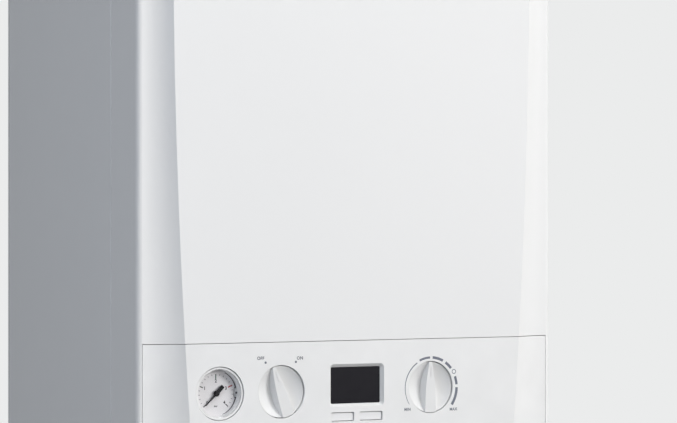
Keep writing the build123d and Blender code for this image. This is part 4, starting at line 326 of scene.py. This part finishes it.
# Round the temperature knob: a line that thickens, then dashes, with a small ring between two.
SCALE_DROP = 0.5  # the scale's middle lies this far below the knob's
SCALE_LINE = (-123, -32, 24.9, 0.4, 1.0)  # start, end, radius, first and last thickness
SCALE_DASH_RADIUS = 25.5
SCALE_DASHES = (  # start, end, thickness
    (-25, -1.4, 1.8),
    (4.3, 28, 2.2),
    (34.7, 51.3, 2.3),
    (69.4, 85.3, 2.3),
    (90.7, 125.8, 2.4),
)
SCALE_RING_AT = (60.2, 26.3)  # angle and reach
SCALE_RING = (0, 360, 1.75, 0.6, 0.6)  # start, end, radius, first and last thickness
TEMPERATURE_WORDS = {"MIN": (-22.7, -18.3), "MAX": (22.3, -19.4)}
TEMPERATURE_CAPITAL = 2.3

# On the dial.
DIAL_SWEEP = 270.0  # degrees from no pressure to the full one
DIAL_FULL = 4  # bar
FIFTHS = [fifth / 5 for fifth in range(5 * DIAL_FULL + 1)]  # bar
DIAL_TICKS = {  # pressures in bar, inner and outer reach, width, ink
    "dial_minor_ticks": (FIFTHS, 14.6, 15.8, 0.6, "faint_ink"),
    "dial_major_ticks": ([0, 1, 4], 12.6, 15.8, 0.8, "dial_ink_and_shadow"),
    "dial_green_tick": ([2], 11.0, 15.8, 0.9, "green_ink"),
    "dial_red_tick": ([3], 12.0, 16.3, 1.0, "red_ink"),
}
NUMBER_REACHES = (11.0, 11.0, 10.0, 10.0, 11.0)  # of the numbers 0 to 4
NUMBER_CAPITAL = 2.6
UNIT_AT = (180, 10.6)  # angle and reach
UNIT_CAPITAL = 1.5
GAP_START = 77  # the painted shadow band at the dial's edge leaves a gap for the peg
GAP_END = 102
EDGE_SHADOW_BANDS = (  # painted shadow of the gap at the dial's rim: start, end, radius, first and last thickness
    (26, GAP_START, 18.5, 0.5, 1.0),
    (GAP_END, 160, 18.4, 0.9, 0.4),
)
GAP_SHADOW_TICK = (17.2, 19.0, 0.7)  # painted shadow strokes at the ends of the gap: inner and outer reach, width
PEG_AT = (90, 17.8)  # angle and reach
PEG_RADIUS = 0.95


def offset(centre, right, up):
    """Point to the right of another and above it, by sizes in mm."""
    return centre[0] + right * MM, centre[1] + up * MM


def around(centre, angle, reach):
    """Point at an angle and a reach in mm from another."""
    turned = math.radians(angle)
    return centre[0] + reach * MM * math.sin(turned), centre[1] + reach * MM * math.cos(turned)


def band(centre, start, end, radius, first_thickness, last_thickness):
    """Quads along an arc whose thickness changes evenly from one end to the other."""
    steps = int((end - start) / ARC_STEP)
    rims = []
    for step in range(steps + 1):
        share = step / steps
        angle = start + (end - start) * share
        half = (first_thickness + (last_thickness - first_thickness) * share) / 2
        rims.append([around(centre, angle, radius - half), around(centre, angle, radius + half)])
    return [
        [inner, outer, next_outer, next_inner]
        for (inner, outer), (next_inner, next_outer) in zip(rims, rims[1:])
    ]


def disc(centre, radius):
    """Outline of a small filled circle."""
    return [around(centre, 360 / DISC_SIDES * side, radius) for side in range(DISC_SIDES)]


def tick(centre, angle, inner, outer, width):
    """Outline of a radial stroke."""
    turned = math.radians(angle)
    across_x = width / 2 * MM * math.cos(turned)
    across_z = -width / 2 * MM * math.sin(turned)
    foot = around(centre, angle, inner)
    tip = around(centre, angle, outer)
    corners = ((foot, -1), (tip, -1), (tip, 1), (foot, 1))
    return [(x + side * across_x, z + side * across_z) for (x, z), side in corners]


def add_print(piece, ink):
    """Links a printed piece in its ink; all printing rides on the control box."""
    bpy.context.collection.objects.link(piece)
    piece.data.materials.append(INKS[ink])
    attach(piece, "control_box")


def print_shapes(name, outlines, ink, carrier):
    """Flat shapes that face the front, from outlines in x and z."""
    y, slot = carrier
    mesh = bmesh.new()
    for outline in outlines:
        face = mesh.faces.new([mesh.verts.new((x, y, z)) for x, z in outline])
        face.normal_update()
        if face.normal.y > 0:
            face.normal_flip()
    data = bpy.data.meshes.new(name)
    mesh.to_mesh(data)
    mesh.free()
    add_print(bpy.data.objects.new(name, data), ink)


def print_words(name, words, place, capital, ink, carrier):
    """Words centred on a point, with the height of a capital in mm."""
    y, slot = carrier
    curve = bpy.data.curves.new(name, "FONT")
    curve.body = words
    curve.align_x = "CENTER"
    curve.align_y = "CENTER"
    curve.size = capital * MM / CAPITAL_SHARE
    curve.space_character = LETTER_SPACING
    curve.offset = LETTER_WEIGHT * capital * MM
    text = bpy.data.objects.new(name, curve)
    text.location = (place[0], y, place[1])
    text.rotation_euler = (math.pi / 2, 0, 0)
    add_print(text, ink)


def print_labels(knob, knob_at, words, capital, ink):
    """Words beside a knob."""
    for word, place in words.items():
        print_words(f"{knob}_{word.lower()}", word, offset(knob_at, *place), capital, ink, FASCIA)


def print_fascia():
    """Dots and words of the mode knob, scale and words of the temperature knob."""
    dots = [disc(around(MODE_AT, *place), MODE_DOT_RADIUS) for place in MODE_DOTS]
    print_shapes("mode_dots", dots, "mark_ink", FASCIA)
    print_labels("mode", MODE_AT, MODE_WORDS, MODE_CAPITAL, "text_ink")
    scale_at = offset(TEMPERATURE_AT, 0.0, -SCALE_DROP)
    scale = band(scale_at, *SCALE_LINE)
    for start, end, thickness in SCALE_DASHES:
        scale += band(scale_at, start, end, SCALE_DASH_RADIUS, thickness, thickness)
    scale += band(around(scale_at, *SCALE_RING_AT), *SCALE_RING)
    print_shapes("temperature_scale", scale, "mark_ink", FASCIA)
    print_labels("temperature", TEMPERATURE_AT, TEMPERATURE_WORDS, TEMPERATURE_CAPITAL, "mark_ink")


def dial_angle(pressure):
    """Angle of a pressure in bar on the dial, whose middle value is at the top."""
    return DIAL_SWEEP * (pressure / DIAL_FULL - 0.5)


def print_dial():
    """Ticks and numbers of the dial, the painted shadow band at its edge and the dark end of the
    peg.
    """
    for name, (pressures, inner, outer, width, ink) in DIAL_TICKS.items():
        ticks = [tick(DIAL_AT, dial_angle(pressure), inner, outer, width) for pressure in pressures]
        print_shapes(name, ticks, ink, DIAL)
    for number, reach in enumerate(NUMBER_REACHES):
        at = around(DIAL_AT, dial_angle(number), reach)
        print_words(f"dial_{number}", str(number), at, NUMBER_CAPITAL, "dial_ink_and_shadow", DIAL)
    print_words("dial_unit", "bar", around(DIAL_AT, *UNIT_AT), UNIT_CAPITAL, "dial_ink_and_shadow", DIAL)
    # Painted shadow: a dark band where the gap between the dial and the bezel wall shows, thickest
    # at the right.
    edge = []
    for arc in EDGE_SHADOW_BANDS:
        edge += band(DIAL_AT, *arc)
    edge += [tick(DIAL_AT, angle, *GAP_SHADOW_TICK) for angle in (GAP_START, GAP_END)]
    print_shapes("dial_edge_painted_shadow", edge, "dial_ink_and_shadow", DIAL)
    peg = disc(around(DIAL_AT, *PEG_AT), PEG_RADIUS)
    print_shapes("dial_peg_end", [peg], "dial_ink_and_shadow", PEG_END)


# ---- light, floor and camera ----------------------------------------------------------------------

BACKGROUND = srgb(235, 236, 236)
SKY_COLOUR = (0.93, 0.96, 1.0, 1.0)
SKY_BELOW = 0.1  # strength of the sky light from straight below
SKY_ABOVE = 0.09  # and from straight above

FLOOR_Z = -2.6
FLOOR_SIZE = 18.0
FLOOR_COLOUR = srgb(200, 201, 201)
FLOOR_GLOW = 0.8  # strength of the background's colour on the floor, for rays that see it

AIM = (0.0, -0.2, 0.3)  # every lamp faces this point
LAMPS = {  # place, side in metres, watts, colour
    "key": ((3.5, -4.1, 2.3), 1.8, 145.0, (1.0, 0.998, 0.99)),
    "low_key": ((3.6, -2.5, 0.6), 1.8, 35.0, (1.0, 0.995, 0.99)),
    "front": ((1.9, -4.2, 0.9), 1.8, 24.0, (1.02, 1.0, 0.97)),
    "top": ((0.0, -2.4, 3.9), 2.3, 60.0, (1.0, 1.0, 1.0)),
    "side": ((-1.7, -1.1, 0.5), 0.8, 8.2, (0.88, 0.96, 1.09)),
}

# The photograph's viewpoint, from its perspective: level, and turned towards +X.
CAMERA_AT = (-1.2437, -2.5054, 0.2247)
CAMERA_TURN = 28.83  # degrees
LENS = 162.6  # mm
SENSOR_WIDTH = 36.0  # mm


def pale_rays(nodes, links):
    """1 for camera, glossy and transmission rays, which see the pale background."""
    path = nodes.new("ShaderNodeLightPath")
    seen = path.outputs["Is Camera Ray"]
    for ray in ("Is Glossy Ray", "Is Transmission Ray"):
        larger = nodes.new("ShaderNodeMath")
        larger.operation = "MAXIMUM"
        links.new(seen, larger.inputs[0])
        links.new(path.outputs[ray], larger.inputs[1])
        seen = larger.outputs[0]
    return seen


def make_world():
    """Nearly even sky light, and the photograph's pale background for the rays that see it."""
    world = bpy.data.worlds.new("studio")
    world.use_nodes = True
    nodes, links = world.node_tree.nodes, world.node_tree.links
    sky = nodes["Background"]
    sky.inputs["Color"].default_value = SKY_COLOUR
    split = nodes.new("ShaderNodeSeparateXYZ")
    links.new(nodes.new("ShaderNodeTexCoord").outputs["Generated"], split.inputs[0])
    fade = nodes.new("ShaderNodeMapRange")
    fade.inputs["From Min"].default_value = -1.0  # the z of a ray straight down
    fade.inputs["To Min"].default_value = SKY_BELOW
    fade.inputs["To Max"].default_value = SKY_ABOVE
    links.new(split.outputs["Z"], fade.inputs["Value"])
    links.new(fade.outputs["Result"], sky.inputs["Strength"])
    seen = nodes.new("ShaderNodeBackground")
    seen.inputs["Color"].default_value = BACKGROUND
    mix = nodes.new("ShaderNodeMixShader")
    links.new(pale_rays(nodes, links), mix.inputs[0])
    links.new(sky.outputs[0], mix.inputs[1])
    links.new(seen.outputs[0], mix.inputs[2])
    links.new(mix.outputs[0], nodes["World Output"].inputs["Surface"])
    bpy.context.scene.world = world


def make_floor():
    """Plain floor far below the hanging boiler, nearly as pale as the background."""
    bpy.ops.mesh.primitive_plane_add(size=FLOOR_SIZE, location=(0, 0, FLOOR_Z))
    floor = bpy.context.object
    floor.name = "floor"
    shade = Shade("floor", FLOOR_COLOUR, roughness=0.85, Emission_Color=BACKGROUND)
    shade.tint(shade.noise(scale=2.0), spread=0.01)
    glow = shade.nodes.new("ShaderNodeMath")
    glow.operation = "MULTIPLY"
    glow.inputs[1].default_value = FLOOR_GLOW
    shade.links.new(pale_rays(shade.nodes, shade.links), glow.inputs[0])
    shade.links.new(glow.outputs[0], shade.shader.inputs["Emission Strength"])
    floor.data.materials.append(shade.material)


def make_lamps():
    """Square soft boxes."""
    for name, (place, side, watts, colour) in LAMPS.items():
        data = bpy.data.lights.new(name, "AREA")
        data.size = side
        data.energy = watts
        data.color = colour
        lamp = bpy.data.objects.new(name, data)
        lamp.location = place
        lamp.rotation_euler = (Vector(AIM) - Vector(place)).to_track_quat("-Z", "Y").to_euler()
        bpy.context.collection.objects.link(lamp)


def make_camera():
    """Looks at the boiler from the photograph's viewpoint."""
    data = bpy.data.cameras.new("camera")
    data.sensor_width = SENSOR_WIDTH
    data.lens = LENS
    camera = bpy.data.objects.new("camera", data)
    camera.location = CAMERA_AT
    camera.rotation_euler = (math.pi / 2, 0, -math.radians(CAMERA_TURN))
    bpy.context.collection.objects.link(camera)
    bpy.context.scene.camera = camera


dress_frame()
print_fascia()
print_dial()
make_world()
make_floor()
make_lamps()
make_camera()
bpy.context.scene.view_settings.view_transform = "Standard"
